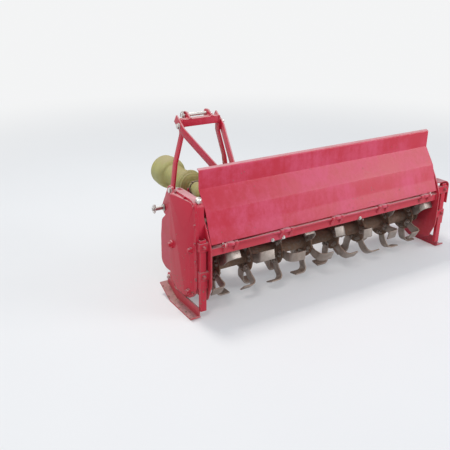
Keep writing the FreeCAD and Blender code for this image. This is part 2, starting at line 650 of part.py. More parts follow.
def make_strut_clamps():
    """Bent clamps that hold the struts to the side plates, with a sleeve round each strut's lower part."""
    pieces = []
    y0, y1 = STRUT_Y - STRUT_D / 2, STRUT_Y + STRUT_D / 2
    for strut_x0, wall_x in ((LEFT_WEB_X, LEFT_OUT), (RIGHT_STRUT_X, RIGHT_OUT)):
        left = wall_x == LEFT_OUT
        strut_x1 = strut_x0 + STRUT_W
        x0 = strut_x0 - CLAMP_T if left else RIGHT_OUT
        x1 = LEFT_OUT if left else strut_x1 + CLAMP_T
        slot = box(strut_x0, strut_x1, y0, y1, STRUT_FOOT_Z, STRUT_TOP_Z)
        leg = (LEFT_OUT - CLAMP_T, LEFT_OUT) if left else (RIGHT_OUT, RIGHT_OUT + CLAMP_T)
        front = CLAMP_FRONT_Y if left else STRAP_FRONT_Y
        low, high = [fuse([box(x0, x1, y0 - CLAMP_T, y1, z - CLAMP_H / 2, z + CLAMP_H / 2),
                           box(*leg, y0, front, z - CLAMP_H / 2, z + CLAMP_H / 2)]) for z in CLAMP_PLACES]
        sleeve = box(strut_x0 - SLEEVE_T, strut_x1 + SLEEVE_T, y0 - SLEEVE_T, y1, SLEEVE_LOW_Z, SLEEVE_TOP_Z)
        pieces.append(fuse([low, sleeve]).cut(slot))
        if not left:
            spacer = box(x1, x1 + STRAP_OUT, y0 - CLAMP_T, y1, CLAMP_PLACES[1] - CLAMP_H / 2,
                         CLAMP_PLACES[1] + CLAMP_H / 4)
            high = fuse([high, spacer, make_strap()])
        pieces.append(high.cut(slot))
    return Part.makeCompound(pieces)


def make_tailgate_panel():
    x0, x1 = LEFT_IN + BOARD_SIDE_GAP, RIGHT_IN - BOARD_SIDE_GAP
    return plate_x(folded_sheet(BOARD_PATH, BOARD_T, BOARD_BEND), x0, x1)


BOARD_PATH = [             # (y, z) of the rear face, from the hinge up to the lip
    (REAR_BEAM_BACK, HINGE_Z + BOARD_FOOT_UP), (-137, 462), (-110, 548), (-43, 645), (-43, 735), (-28, 750),
]


def make_tailgate_ribs():
    """Stiffening plates on the folded board's front side, between the hinge's knuckles."""
    path = folded_sheet(BOARD_PATH, BOARD_T, BOARD_BEND)[len(BOARD_PATH):][::-1][1:-1]
    path[0], path[-1] = path[0][:2], path[-1][:2]
    deep = [(y + RIB_D, z) for y, z, bend in path[1:-1]]
    points = path + [(path[-1][0] + LEAF_T, path[-1][1])] + deep[::-1] + [(path[0][0] + LEAF_T, path[0][1])]
    places = knuckle_places()
    middles = [(a + b) / 2 for a, b in zip(places, places[1:])]
    return Part.makeCompound([plate_x(points, x - RIB_T / 2, x + RIB_T / 2) for x in middles])


def knuckle_places():
    first, last = LEFT_IN + 110, RIGHT_IN - 110
    step = (last - first) / (KNUCKLE_COUNT - 1)
    return [first + i * step for i in range(KNUCKLE_COUNT)]


def make_hinge_brackets():
    """Welded knuckles and their brackets on the rear beam, two beside each leaf."""
    pieces = []
    beam_rear = REAR_BEAM_Y - REAR_BEAM_D
    for x in knuckle_places():
        for x0 in (x - KNUCKLE_LEN / 2 - 22, x + KNUCKLE_LEN / 2 + 2):
            ring = rod((x0, HINGE_Y, HINGE_Z), (x0 + 20, HINGE_Y, HINGE_Z), KNUCKLE_R)
            web = plate_x([(beam_rear - 4, REAR_BEAM_Z + 12), (beam_rear, REAR_BEAM_Z + 12),
                           (beam_rear, REAR_BEAM_TOP), (beam_rear, HINGE_Z),
                           (HINGE_Y - 5, HINGE_Z - 7)], x0, x0 + 20)
            bore = rod((x0 - 1, HINGE_Y, HINGE_Z), (x0 + 21, HINGE_Y, HINGE_Z), HINGE_ROD_R + FIT)
            pieces.append(fuse([ring, web]).cut(bore))
    return Part.makeCompound(pieces)


def make_hinge_rod():
    return rod((LEFT_IN + 60, HINGE_Y, HINGE_Z), (RIGHT_IN - 60, HINGE_Y, HINGE_Z), HINGE_ROD_R)


def make_hinge_leaves():
    """The board's own knuckles, each with a leaf welded to the board's front face."""
    pieces = []
    foot, knee = BOARD_PATH[0], BOARD_PATH[1]
    length = math.hypot(knee[0] - foot[0], knee[1] - foot[1])
    ny, nz = (knee[1] - foot[1]) / length, -(knee[0] - foot[0]) / length
    for x in knuckle_places():
        x0, x1 = x - KNUCKLE_LEN / 2, x + KNUCKLE_LEN / 2
        ring = rod((x0, HINGE_Y, HINGE_Z), (x1, HINGE_Y, HINGE_Z), KNUCKLE_R)
        root = (foot[0] + ny * BOARD_T, foot[1] + nz * BOARD_T)
        top = (knee[0] + ny * BOARD_T, knee[1] + nz * BOARD_T - 6)
        leaf = plate_x([root, top, (top[0] + ny * LEAF_T, top[1] + nz * LEAF_T),
                        (root[0] + ny * LEAF_T, root[1] + nz * LEAF_T), (HINGE_Y + 6, HINGE_Z - 2),
                        (HINGE_Y - 2, HINGE_Z + 8)], x0, x1)
        bore = rod((x0 - 1, HINGE_Y, HINGE_Z), (x1 + 1, HINGE_Y, HINGE_Z), HINGE_ROD_R + FIT)
        pieces.append(fuse([ring, leaf]).cut(bore))
    return Part.makeCompound(pieces)


# Rotor

def make_rotor_tube():
    x0, x1 = LEFT_IN + HUB_TO_PLATE, RIGHT_IN - HUB_TO_PLATE
    tube = turned_x([(ROTOR_TUBE_R - ROTOR_TUBE_WALL, x0 + HUB_T), (ROTOR_TUBE_R, x0 + HUB_T),
                     (ROTOR_TUBE_R, x1 - HUB_T), (ROTOR_TUBE_R - ROTOR_TUBE_WALL, x1 - HUB_T)],
                    0, ROTOR_Z)
    left_end = CASE_FACE + COVER_FLANGE_T + COVER_RAISE + 8
    left = turned_x([(0, left_end), (STUB_R, left_end), (STUB_R, x0), (HUB_R, x0), (HUB_R, x0 + HUB_T),
                     (0, x0 + HUB_T)], 0, ROTOR_Z)
    right_end = RIGHT_OUT + BEARING_T - 8 - RUN_GAP
    right = turned_x([(0, x1 - HUB_T), (HUB_R, x1 - HUB_T), (HUB_R, x1), (STUB_R, x1),
                      (STUB_R, right_end), (0, right_end)], 0, ROTOR_Z)
    return fuse([tube, left, right])


def flange_places():
    """Left faces of the tine flanges, spread evenly across the rotor."""
    pitch = WORK_WIDTH / FLANGE_COUNT
    return [LEFT_IN + (i + 0.5) * pitch - FLANGE_T / 2 for i in range(FLANGE_COUNT)]


def make_flanges():
    return Part.makeCompound([
        turned_x([(ROTOR_TUBE_R, x), (FLANGE_R, x), (FLANGE_R, x + FLANGE_T), (ROTOR_TUBE_R, x + FLANGE_T)],
                 0, ROTOR_Z) for x in flange_places()])


def make_tine():
    """One bent tine about the X axis, its shank up along Z on the plane X = 0, reaching to +X."""
    half = TINE_ROOT_W / 2
    front = half + TINE_SWEEP
    tip = math.sqrt(TINE_R ** 2 - front ** 2)       # the blade's leading corner runs on the tine circle
    strip = [(0, TINE_ROOT_R), (0, tip, TINE_BEND_R + TINE_T), (TINE_REACH, tip),
             (TINE_REACH, tip - TINE_T), (TINE_T, tip - TINE_T, TINE_BEND_R), (TINE_T, TINE_ROOT_R)]
    bent = plate_y(strip, -TINE_R / 2, TINE_R / 2)
    scythe = [(-half, TINE_ROOT_R), (half, TINE_ROOT_R), (half + 5, 0.62 * TINE_R),
              (front, tip), (front, TINE_R), (-4, TINE_R), (-half - 2, 0.66 * TINE_R)]
    return bent.common(plate_x(scythe, -1, TINE_REACH + 1))


def make_tines(hand):
    """All tines on one face of the flanges: hand is -1 for the left faces, +1 for the right."""
    tine = make_tine()
    if hand < 0:
        tine = mirrored_x(tine, 0)
    step = 360.0 / TINES_PER_SIDE
    tines = []
    for i, x in enumerate(flange_places()):
        face_x = x if hand < 0 else x + FLANGE_T
        for j in range(TINES_PER_SIDE):
            turn = i * FLANGE_STEP_DEG + j * step + (0 if hand < 0 else step / 2)
            copy = tine.copy()
            copy.rotate(vec(0, 0, 0), vec(1, 0, 0), turn)
            copy.translate(vec(face_x, 0, ROTOR_Z))
            tines.append(copy)
    return Part.makeCompound(tines)


# Driveline

def make_fork(center_y, facing, ear_axis, hub_r, hub_len, bore_r):
    """A joint fork: a hub and two ears that hold the cross. facing is +1 where it opens forward."""
    hub_y0 = center_y - facing * (EAR_LEN + hub_len)
    hub_y1 = center_y - facing * EAR_LEN
    hub = rod((0, hub_y0, DRIVE_Z), (0, hub_y1, DRIVE_Z), hub_r)
    if bore_r:
        hub = hub.cut(rod((0, hub_y0, DRIVE_Z), (0, hub_y1, DRIVE_Z), bore_r))
    ears = []
    for side in (-1, 1):
        a, b = side * EAR_IN, side * EAR_OUT
        back = hub_y1 - facing * 10
        ear = plate_x([(back, DRIVE_Z - EAR_R), (center_y + facing * EAR_R, DRIVE_Z - EAR_R, EAR_R),
                       (center_y + facing * EAR_R, DRIVE_Z + EAR_R, EAR_R), (back, DRIVE_Z + EAR_R)],
                      min(a, b), max(a, b))
        ears.append(ear)
    bridge = box(-EAR_OUT, EAR_OUT, min(hub_y1, hub_y1 - facing * 10), max(hub_y1, hub_y1 - facing * 10),
                 DRIVE_Z - EAR_R, DRIVE_Z + EAR_R)
    if bore_r:
        bridge = bridge.cut(rod((0, hub_y0, DRIVE_Z), (0, hub_y1, DRIVE_Z), bore_r))
    fork = fuse([hub, bridge] + ears)
    if ear_axis == "z":
        fork.rotate(vec(0, 0, DRIVE_Z), vec(0, 1, 0), 90)
    return fork


def make_joint_cross(center_y):
    return fuse([rod((-EAR_IN, center_y, DRIVE_Z), (EAR_IN, center_y, DRIVE_Z), CROSS_R),
                 rod((0, center_y, DRIVE_Z - EAR_IN), (0, center_y, DRIVE_Z + EAR_IN), CROSS_R),
                 Part.makeSphere(1.5 * CROSS_R, vec(0, center_y, DRIVE_Z))])


def make_input_shaft():
    end = JOINT_REAR_Y - EAR_LEN - 4
    return rod((0, GEARBOX_FRONT_Y + RUN_GAP, DRIVE_Z), (0, end, DRIVE_Z), SHAFT_R)


def make_rear_fork():
    return make_fork(JOINT_REAR_Y, 1, "x", YOKE_R, YOKE_HUB_LEN, SHAFT_R)


def make_crosses():
    return Part.makeCompound([make_joint_cross(JOINT_REAR_Y), make_joint_cross(JOINT_FRONT_Y)])


def make_middle_shaft():
    """The telescopic tube between the two joints, with a fork at each end."""
    rear = make_fork(JOINT_REAR_Y, -1, "z", YOKE_R - 3, FORK_BASE, 0)
    front = make_fork(JOINT_FRONT_Y, 1, "z", YOKE_R - 3, FORK_BASE, 0)
    rear_y, front_y = JOINT_REAR_Y + EAR_LEN, JOINT_FRONT_Y - EAR_LEN
    tube = rod((0, rear_y, DRIVE_Z), (0, front_y, DRIVE_Z), TUBE_R)
    hollow = rod((0, rear_y, DRIVE_Z), (0, front_y, DRIVE_Z), TUBE_R - TUBE_WALL)
    return fuse([rear, tube.cut(hollow), front])


def make_front_fork():
    return make_fork(JOINT_FRONT_Y, -1, "x", YOKE_R, FRONT_YOKE_LEN - EAR_LEN, SHAFT_R)


def make_guard_tube():
    r0 = GUARD_R - GUARD_WALL
    bear = TUBE_R + FIT
    ring = GUARD_BEARING
    return turned_y([(bear, GUARD_REAR_Y), (GUARD_R, GUARD_REAR_Y), (GUARD_R, GUARD_FRONT_Y),
                     (bear, GUARD_FRONT_Y), (bear, GUARD_FRONT_Y - ring), (r0, GUARD_FRONT_Y - ring),
                     (r0, GUARD_REAR_Y + ring), (bear, GUARD_REAR_Y + ring)], 0, DRIVE_Z)


def make_cone(y_mouth, y_neck, r_mouth):
    """A thin bell between its mouth and its neck, which grips the guard's tube."""
    d = 1 if y_mouth > y_neck else -1
    w = CONE_WALL
    neck = GUARD_R
    length = abs(y_mouth - y_neck)
    inner = [(neck + share * (r_mouth - w - neck), y_neck + d * at * length) for at, share in CONE_SHAPE]
    outer = [(r + w, y) for r, y in inner]
    return turned_y([(neck, y_neck - d * CONE_GRIP)] + inner + outer[::-1]
                    + [(neck + w, y_neck - d * CONE_GRIP)], 0, DRIVE_Z)


def make_shaft_rest():
    """A forked flat bar on the front beam that carries the driveline's guard when parked."""
    y0 = GUARD_REAR_Y + CONE_GRIP + 6
    seat = GUARD_R + RUN_GAP
    bar = plate_y([(-26, FRONT_BEAM_TOP), (26, FRONT_BEAM_TOP), (44, DRIVE_Z - 14, 12), (44, DRIVE_Z, 3),
                   (-44, DRIVE_Z, 3), (-44, DRIVE_Z - 14, 12)], y0, y0 + REST_T)
    bar = bar.cut(rod((0, y0 - 1, DRIVE_Z), (0, y0 + REST_T + 1, DRIVE_Z), seat))
    foot = box(-26, 26, FRONT_BEAM_Y + 12, y0 + REST_T, FRONT_BEAM_TOP, FRONT_BEAM_TOP + REST_T)
    return fuse([bar, foot])


def board_front_y(z):
    """Where the folded board's front face is at a height."""
    for (y0, z0), (y1, z1) in zip(BOARD_PATH, BOARD_PATH[1:]):
        if z0 <= z <= z1:
            slope = (y1 - y0) / (z1 - z0)
            return y0 + slope * (z - z0) + BOARD_T * math.hypot(1, slope)
    raise ValueError("no board at this height")


def make_tailgate_stops():
    """Tabs on the side plates that the folded board leans on."""
    pieces = []
    for edge_y, z in STOP_PLACES:
        rear = board_front_y(z + STOP_T / 2) + RUN_GAP
        tab = box(LEFT_IN, LEFT_IN + STOP_W, rear, edge_y + 24, z - STOP_T / 2, z + STOP_T / 2)
        pieces += [tab, mirrored_x(tab, (LEFT_IN + RIGHT_IN) / 2)]
    return Part.makeCompound(pieces)


def build_all():
    return {
        "deck": make_deck(),
        "side_plate_left": make_side_plate(LEFT_OUT, LEFT_IN),
        "side_plate_right": make_side_plate(RIGHT_IN, RIGHT_OUT),
        "front_beam": make_front_beam(),
        "rear_beam": make_rear_beam(),
        "hitch_plate_left": make_hitch_plate(-1),
        "hitch_plate_right": make_hitch_plate(1),
        "hitch_pins": make_hitch_pins(),
        "mast_leg_left": make_mast_leg(-1),
        "mast_leg_right": make_mast_leg(1),
        "mast_cross_tube": make_cross_tube(),
        "top_link_lugs": make_top_lugs(),
        "top_link_pin": make_top_pin(),
        "brace_left": make_brace(-1),
        "brace_right": make_brace(1),
        "brace_post": make_brace_post(),
        "gearbox": make_gearbox(),
        "gearbox_cover": make_gearbox_cover(),
        "drive_tube": make_drive_tube(),
        "side_case": make_side_case(),
        "side_case_cover": make_case_cover(),
        "rotor_bearing": make_right_bearing(),
        "skid_left": make_skid(LEFT_WEB_X, -1),
        "skid_right": make_skid(RIGHT_WEB_X, 1),
        "skid_mounts": make_skid_mounts(),
        "skid_strut_left": make_strut(LEFT_WEB_X),
        "skid_strut_right": make_strut(RIGHT_STRUT_X),
        "strut_clamps": make_strut_clamps(),
        "tailgate_stops": make_tailgate_stops(),
        "hinge_brackets": make_hinge_brackets(),
        "hinge_rod": make_hinge_rod(),
        "tailgate_panel": make_tailgate_panel(),
        "tailgate_leaves": make_hinge_leaves(),
        "tailgate_ribs": make_tailgate_ribs(),
        "rotor_tube": make_rotor_tube(),
        "rotor_flanges": make_flanges(),
        "tines_left": make_tines(-1),
        "tines_right": make_tines(1),
        "input_shaft": make_input_shaft(),
        "rear_fork": make_rear_fork(),
        "joint_crosses": make_crosses(),
        "middle_shaft": make_middle_shaft(),
        "front_fork": make_front_fork(),
        "guard_tube": make_guard_tube(),
        "guard_cone_rear": make_cone(REAR_CONE_Y, GUARD_REAR_Y, REAR_CONE_R),
        "guard_cone_front": make_cone(FRONT_CONE_Y, GUARD_FRONT_Y, FRONT_CONE_R),
        "shaft_rest": make_shaft_rest(),
    }


def origin_shift(shapes):
    """The move that puts the origin at the middle of the footprint, on the floor."""
    bounds = FreeCAD.BoundBox()
    for shape in shapes.values():
        bounds.add(shape.BoundBox)
    return vec(-(bounds.XMin + bounds.XMax) / 2, -(bounds.YMin + bounds.YMax) / 2, -bounds.ZMin)


def main():
    os.makedirs("parts", exist_ok=True)
    shapes = build_all()
    shift = origin_shift(shapes)
    for node, shape in shapes.items():
        shape.translate(shift)
        if not shape.isValid():
            print("not valid:", node)
        shape.exportStep("parts/%s.step" % node)


main()
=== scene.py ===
import json
import math

import bmesh
import bpy
from mathutils import Euler, Matrix, Vector, noise


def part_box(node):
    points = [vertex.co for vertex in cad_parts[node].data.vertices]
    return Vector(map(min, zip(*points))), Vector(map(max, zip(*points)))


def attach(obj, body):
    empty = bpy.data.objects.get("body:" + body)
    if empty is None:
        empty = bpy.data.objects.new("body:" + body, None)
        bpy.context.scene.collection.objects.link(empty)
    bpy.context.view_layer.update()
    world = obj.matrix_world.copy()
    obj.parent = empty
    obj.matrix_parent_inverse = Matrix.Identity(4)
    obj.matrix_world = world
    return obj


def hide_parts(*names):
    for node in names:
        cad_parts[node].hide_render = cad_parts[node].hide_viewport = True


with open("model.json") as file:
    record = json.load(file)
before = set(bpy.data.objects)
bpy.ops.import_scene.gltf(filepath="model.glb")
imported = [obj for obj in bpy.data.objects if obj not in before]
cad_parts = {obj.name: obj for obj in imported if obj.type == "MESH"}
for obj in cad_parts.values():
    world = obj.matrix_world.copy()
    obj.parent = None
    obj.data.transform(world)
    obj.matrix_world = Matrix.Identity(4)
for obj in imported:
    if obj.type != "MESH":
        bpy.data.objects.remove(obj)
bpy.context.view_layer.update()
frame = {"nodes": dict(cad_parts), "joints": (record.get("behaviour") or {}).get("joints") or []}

bl_info = {
    "name": "Rotary Tiller Looks",
    "version": (1, 0, 0),
    "blender": (4, 5, 0),
    "location": "3D View > Sidebar > Tiller",
    "description": "Dresses a side-driven rotary tiller with its paint, bolts, welds, wear and soil",
    "category": "Object",
}

# Places are in millimetres from the hitch's centre line (x, right), the rotor's axis (y, forward)
# and the skids' soles (z, up), and at() turns them into metres in the frame.
MM = 0.001
JOINTS = {joint["name"]: joint for joint in frame["joints"]}
ORIGIN = Vector((JOINTS["driveline_spin"]["pos_m"][0], JOINTS["rotor_spin"]["pos_m"][1], 0.0))


def at(x, y, z):
    return ORIGIN + Vector((x, y, z)) * MM


def node_box(name):
    """A node's lowest and highest corner in the same millimetres as the places."""
    low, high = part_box(name)
    return (low - ORIGIN) / MM, (high - ORIGIN) / MM


# Sizes that the details share with the frame
ROTOR_Z = JOINTS["rotor_spin"]["pos_m"][2] / MM
DRIVE_Z = JOINTS["driveline_spin"]["pos_m"][2] / MM
LEFT_IN = node_box("deck")[0].x
RIGHT_IN = node_box("deck")[1].x
LEFT_OUT = node_box("side_plate_left")[0].x
RIGHT_OUT = node_box("side_plate_right")[1].x
JOINT_REAR_Y = (JOINTS["driveline_spin"]["pos_m"][1] - ORIGIN.y) / MM
JOINT_FRONT_Y = 700.0
FLANGE_COUNT = 8
FLANGE_T = 8.0
FLANGE_R = 88.0
FLANGE_STEP_DEG = 17.0
TINES_PER_SIDE = 3
ROTOR_TUBE_R = 38.0


# Settings

class TillerLooks(bpy.types.PropertyGroup):
    """Colours and finish of the tiller."""
    paint: bpy.props.FloatVectorProperty(
        name="Paint", description="Red of the frame where it is clean", subtype="COLOR", size=3,
        min=0.0, max=1.0, default=(0.55, 0.018, 0.045))
    faded: bpy.props.FloatVectorProperty(
        name="Faded Paint", description="The same red where the sun has bleached it", subtype="COLOR", size=3,
        min=0.0, max=1.0, default=(0.66, 0.075, 0.15))
    soil: bpy.props.FloatVectorProperty(
        name="Dry Soil", description="Dust and soil that lie on the machine", subtype="COLOR", size=3,
        min=0.0, max=1.0, default=(0.30, 0.205, 0.145))
    rust: bpy.props.FloatVectorProperty(
        name="Rust", description="Rust in chips and on bare steel", subtype="COLOR", size=3,
        min=0.0, max=1.0, default=(0.16, 0.055, 0.02))
    guard: bpy.props.FloatVectorProperty(
        name="Guard", description="Faded plastic of the driveline's guard", subtype="COLOR", size=3,
        min=0.0, max=1.0, default=(0.40, 0.345, 0.06))
    zinc: bpy.props.FloatVectorProperty(
        name="Zinc", description="Plated bolts and pins", subtype="COLOR", size=3,
        min=0.0, max=1.0, default=(0.76, 0.75, 0.72))
    dust: bpy.props.FloatProperty(
        name="Dust", description="How much dust has settled", subtype="FACTOR", min=0.0, max=1.0, default=0.5)
    crumbs: bpy.props.IntProperty(
        name="Soil Seed", description="Seed for the lumps of soil", min=0, default=7)


class TillerSizes(bpy.types.PropertyGroup):
    """Sizes of the fastenings and of the softened edges."""
    edge: bpy.props.FloatProperty(
        name="Edge", description="Rounding of cut plate edges", subtype="DISTANCE", unit="LENGTH",
        min=0.0002, default=0.0012)
    cast_edge: bpy.props.FloatProperty(
        name="Cast Edge", description="Rounding of cast corners", subtype="DISTANCE", unit="LENGTH",
        min=0.0005, default=0.0032)
    bead: bpy.props.FloatProperty(
        name="Weld Bead", description="Radius of a weld bead", subtype="DISTANCE", unit="LENGTH",
        min=0.001, default=0.0032)
    small_bolt: bpy.props.FloatProperty(
        name="Small Bolt", description="Width across flats of the cover's bolts", subtype="DISTANCE",
        unit="LENGTH", min=0.004, default=0.012)
    bolt: bpy.props.FloatProperty(
        name="Bolt", description="Width across flats of the housings' bolts", subtype="DISTANCE",
        unit="LENGTH", min=0.004, default=0.017)
    large_bolt: bpy.props.FloatProperty(
        name="Large Bolt", description="Width across flats of the mast's bolts", subtype="DISTANCE",
        unit="LENGTH", min=0.004, default=0.024)


class TillerStage(bpy.types.PropertyGroup):
    """The floor, the light and the camera."""
    floor: bpy.props.FloatVectorProperty(
        name="Floor", description="Colour of the floor and backdrop", subtype="COLOR", size=3,
        min=0.0, max=1.0, default=(0.78, 0.78, 0.77))
    lens: bpy.props.FloatProperty(
        name="Lens", description="Focal length of the camera", subtype="DISTANCE_CAMERA", min=1.0, default=50.297)
    azimuth: bpy.props.FloatProperty(
        name="Azimuth", description="How far the camera stands round from straight behind", subtype="ANGLE",
        default=math.radians(31.615))
    tilt: bpy.props.FloatProperty(
        name="Tilt", description="How far the camera looks down", subtype="ANGLE", default=math.radians(22.443))
    roll: bpy.props.FloatProperty(
        name="Roll", description="Turn of the camera about its own axis", subtype="ANGLE",
        default=math.radians(0.373))


CAMERA_PLACE = (-1578.6, -2551.1, 1646.7)


# Meshes

def new_piece(name, mesh, body, material=None, replaces=()):
    """A finished object on its body and the nodes that it stands for."""
    piece = bpy.data.objects.new(name, mesh)
    bpy.context.scene.collection.objects.link(piece)
    if material:
        mesh.materials.clear()
        mesh.materials.append(material)
    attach(piece, body)
    if replaces:
        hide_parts(*replaces)
    return piece


def as_mesh(bm, name, smooth_deg=35.0):
    """A mesh from bmesh data, smooth except over sharp corners."""
    mesh = bpy.data.meshes.new(name)
    bm.to_mesh(mesh)
    bm.free()
    mesh.shade_smooth()
    mesh.set_sharp_from_angle(angle=math.radians(smooth_deg))
    return mesh


def evaluated_mesh(holder, name):
    """The plain mesh that an object's modifiers make. The holder goes with its modifiers."""
    depsgraph = bpy.context.evaluated_depsgraph_get()
    mesh = bpy.data.meshes.new_from_object(holder.evaluated_get(depsgraph), depsgraph=depsgraph)
    mesh.name = name
    bpy.data.objects.remove(holder)
    return mesh


def solid_copy(*nodes):
    """One clean mesh of some nodes: doubled corners merged and flat faces joined."""
    bm = bmesh.new()
    for node in nodes:
        bm.from_mesh(frame["nodes"][node].data)
    bmesh.ops.remove_doubles(bm, verts=bm.verts, dist=0.00002)
    bmesh.ops.dissolve_limit(bm, angle_limit=math.radians(1.0), verts=bm.verts, edges=bm.edges)
    return bm


def bevelled(bm, name, width, segments=2, angle_deg=32.0, cutters=None):
    """A mesh whose corners are rounded, after the cutters have been taken out of it."""
    mesh = bpy.data.meshes.new(name)
    bm.to_mesh(mesh)
    bm.free()
    mesh.shade_smooth()
    holder = bpy.data.objects.new(name, mesh)
    bpy.context.scene.collection.objects.link(holder)
    tool = None
    if cutters:
        tool = bpy.data.objects.new(name + "_cutters", cutters)
        bpy.context.scene.collection.objects.link(tool)
        cut = holder.modifiers.new("Holes", "BOOLEAN")
        cut.operation = "DIFFERENCE"
        cut.solver = "EXACT"
        cut.object = tool
    bevel = holder.modifiers.new("Edges", "BEVEL")
    bevel.width = width
    bevel.segments = segments
    bevel.limit_method = "ANGLE"
    bevel.angle_limit = math.radians(angle_deg)
    bevel.use_clamp_overlap = True
    bevel.harden_normals = True
    mesh = evaluated_mesh(holder, name)
    if tool:
        bpy.data.objects.remove(tool)
    return mesh


def soften(nodes, width, body, material, segments=2, name=None, cutters=None):
    """Puts a copy with rounded edges in the place of some nodes."""
    nodes = [nodes] if isinstance(nodes, str) else list(nodes)
    name = name or nodes[0] + "_finished"
    mesh = bevelled(solid_copy(*nodes), name, width, segments, cutters=cutters)
    return new_piece(name, mesh, body, material, nodes)


def frame_of(axis):
    """A turn that takes +Z to the axis."""
    return Vector(axis).to_track_quat("Z", "Y").to_matrix().to_4x4()


def add_rod(bm, start, end, radius, sides=24, end_radius=None):
    """A closed round bar, or a cone, between two points in metres."""
    start, end = Vector(start), Vector(end)
    place = Matrix.Translation((start + end) / 2) @ frame_of(end - start)
    bmesh.ops.create_cone(bm, cap_ends=True, segments=sides, radius1=radius,
                          radius2=radius if end_radius is None else end_radius,
                          depth=(end - start).length, matrix=place)


def add_block(bm, low, high):
    """A block between two corners in millimetres."""
    a, b = at(*low), at(*high)
    middle, size = (a + b) / 2, b - a
    place = Matrix.Translation(middle) @ Matrix.Diagonal((abs(size.x), abs(size.y), abs(size.z), 1.0))
    bmesh.ops.create_cube(bm, size=1.0, matrix=place)


def add_tube(bm, points, radius, sides=10, closed=False):
    """A round bar that follows points in metres."""
    points = [Vector(p) for p in points]
    count = len(points)
    rings = []
    normal = None
    for i, point in enumerate(points):
        ahead = points[(i + 1) % count] if closed or i + 1 < count else point
        behind = points[i - 1] if closed or i else point
        along = (ahead - behind).normalized()
        if normal is None:
            normal = along.orthogonal().normalized()
        normal = (normal - along * normal.dot(along)).normalized()
        other = along.cross(normal)
        r = radius[i] if isinstance(radius, list) else radius
        rings.append([bm.verts.new(point + (normal * math.cos(a) + other * math.sin(a)) * r)
                      for a in (2 * math.pi * k / sides for k in range(sides))])
    pairs = list(zip(rings, rings[1:])) + ([(rings[-1], rings[0])] if closed else [])
    for first, second in pairs:
        for k in range(sides):
            m = (k + 1) % sides
            bm.faces.new((first[k], first[m], second[m], second[k]))
    if not closed:
        bm.faces.new(rings[0][::-1])
        bm.faces.new(rings[-1])


def add_turned(bm, profile, start, axis, sides=96):
    """A closed shape turned about a line: (radius, distance along the line) in millimetres, all round."""
    place = Matrix.Translation(start) @ frame_of(axis)
    rings = []
    for k in range(sides):
        angle = 2 * math.pi * k / sides
        rings.append([bm.verts.new(place @ (Vector((r * math.cos(angle), r * math.sin(angle), s)) * MM))
                      for r, s in profile])
    count = len(profile)
    faces = []
    for k in range(sides):
        ring, after = rings[k], rings[(k + 1) % sides]
        for i in range(count):
            j = (i + 1) % count
            faces.append(bm.faces.new((ring[i], ring[j], after[j], after[i])))
    bmesh.ops.remove_doubles(bm, verts=[v for ring in rings for v in ring], dist=1e-6)
    return faces


def rounded(corners, step_deg=15.0):
    """Points round a closed outline of (a, b, corner radius)."""
    points = []
    count = len(corners)
    for i, (a, b, r) in enumerate(corners):
        here = Vector((a, b))
        before, after = Vector(corners[i - 1][:2]), Vector(corners[(i + 1) % count][:2])
        u, v = (before - here).normalized(), (after - here).normalized()
        half = math.acos(max(-1.0, min(1.0, u.dot(v)))) / 2
        reach = min(r / math.tan(half), 0.49 * (before - here).length, 0.49 * (after - here).length)
        r = reach * math.tan(half)
        if r < 0.01:
            points.append(here)
            continue
        centre = here + (u + v).normalized() * (r / math.sin(half))
        start, end = here + u * reach - centre, here + v * reach - centre
        turn = start.angle_signed(end)
        steps = max(1, round(abs(math.degrees(turn)) / step_deg))
        for k in range(steps + 1):
            c, s = math.cos(-turn * k / steps), math.sin(-turn * k / steps)
            points.append(centre + Vector((start.x * c - start.y * s, start.x * s + start.y * c)))
    return points


# Repeats, made with Geometry Nodes

def new_tree(name, sockets):
    """A node tree with named inputs, a geometry in and a geometry out."""
    tree = bpy.data.node_groups.new(name, "GeometryNodeTree")
    tree.interface.new_socket("Geometry", in_out="INPUT", socket_type="NodeSocketGeometry")
    for label, kind, default in sockets:
        socket = tree.interface.new_socket(label, in_out="INPUT", socket_type=kind)
        if default is not None:
            socket.default_value = default
    tree.interface.new_socket("Geometry", in_out="OUTPUT", socket_type="NodeSocketGeometry")
    return tree


class Net:
    """Adds nodes to a tree and joins them up."""

    def __init__(self, tree):
        self.tree = tree

    def add(self, kind, settings=None, inputs=None):
        node = self.tree.nodes.new(kind)
        for key, value in (settings or {}).items():
            setattr(node, key, value)
        for key, value in (inputs or {}).items():
            if isinstance(value, bpy.types.NodeSocket):
                self.tree.links.new(value, node.inputs[key])
            else:
                node.inputs[key].default_value = value
        return node

    def math(self, operation, a, b=0.0, clamp=False):
        return self.add("ShaderNodeMath", {"operation": operation, "use_clamp": clamp}, {0: a, 1: b}).outputs[0]


def run_tree(tree, mesh, name, values):
    """Runs a tree on a mesh with values for its named inputs, and gives back a plain mesh."""
    holder = bpy.data.objects.new(name, mesh)
    bpy.context.scene.collection.objects.link(holder)
    modifier = holder.modifiers.new(name, "NODES")
    modifier.node_group = tree
    for item in tree.interface.items_tree:
        if item.in_out == "INPUT" and item.name in values:
            modifier[item.identifier] = values[item.name]
    return evaluated_mesh(holder, name)


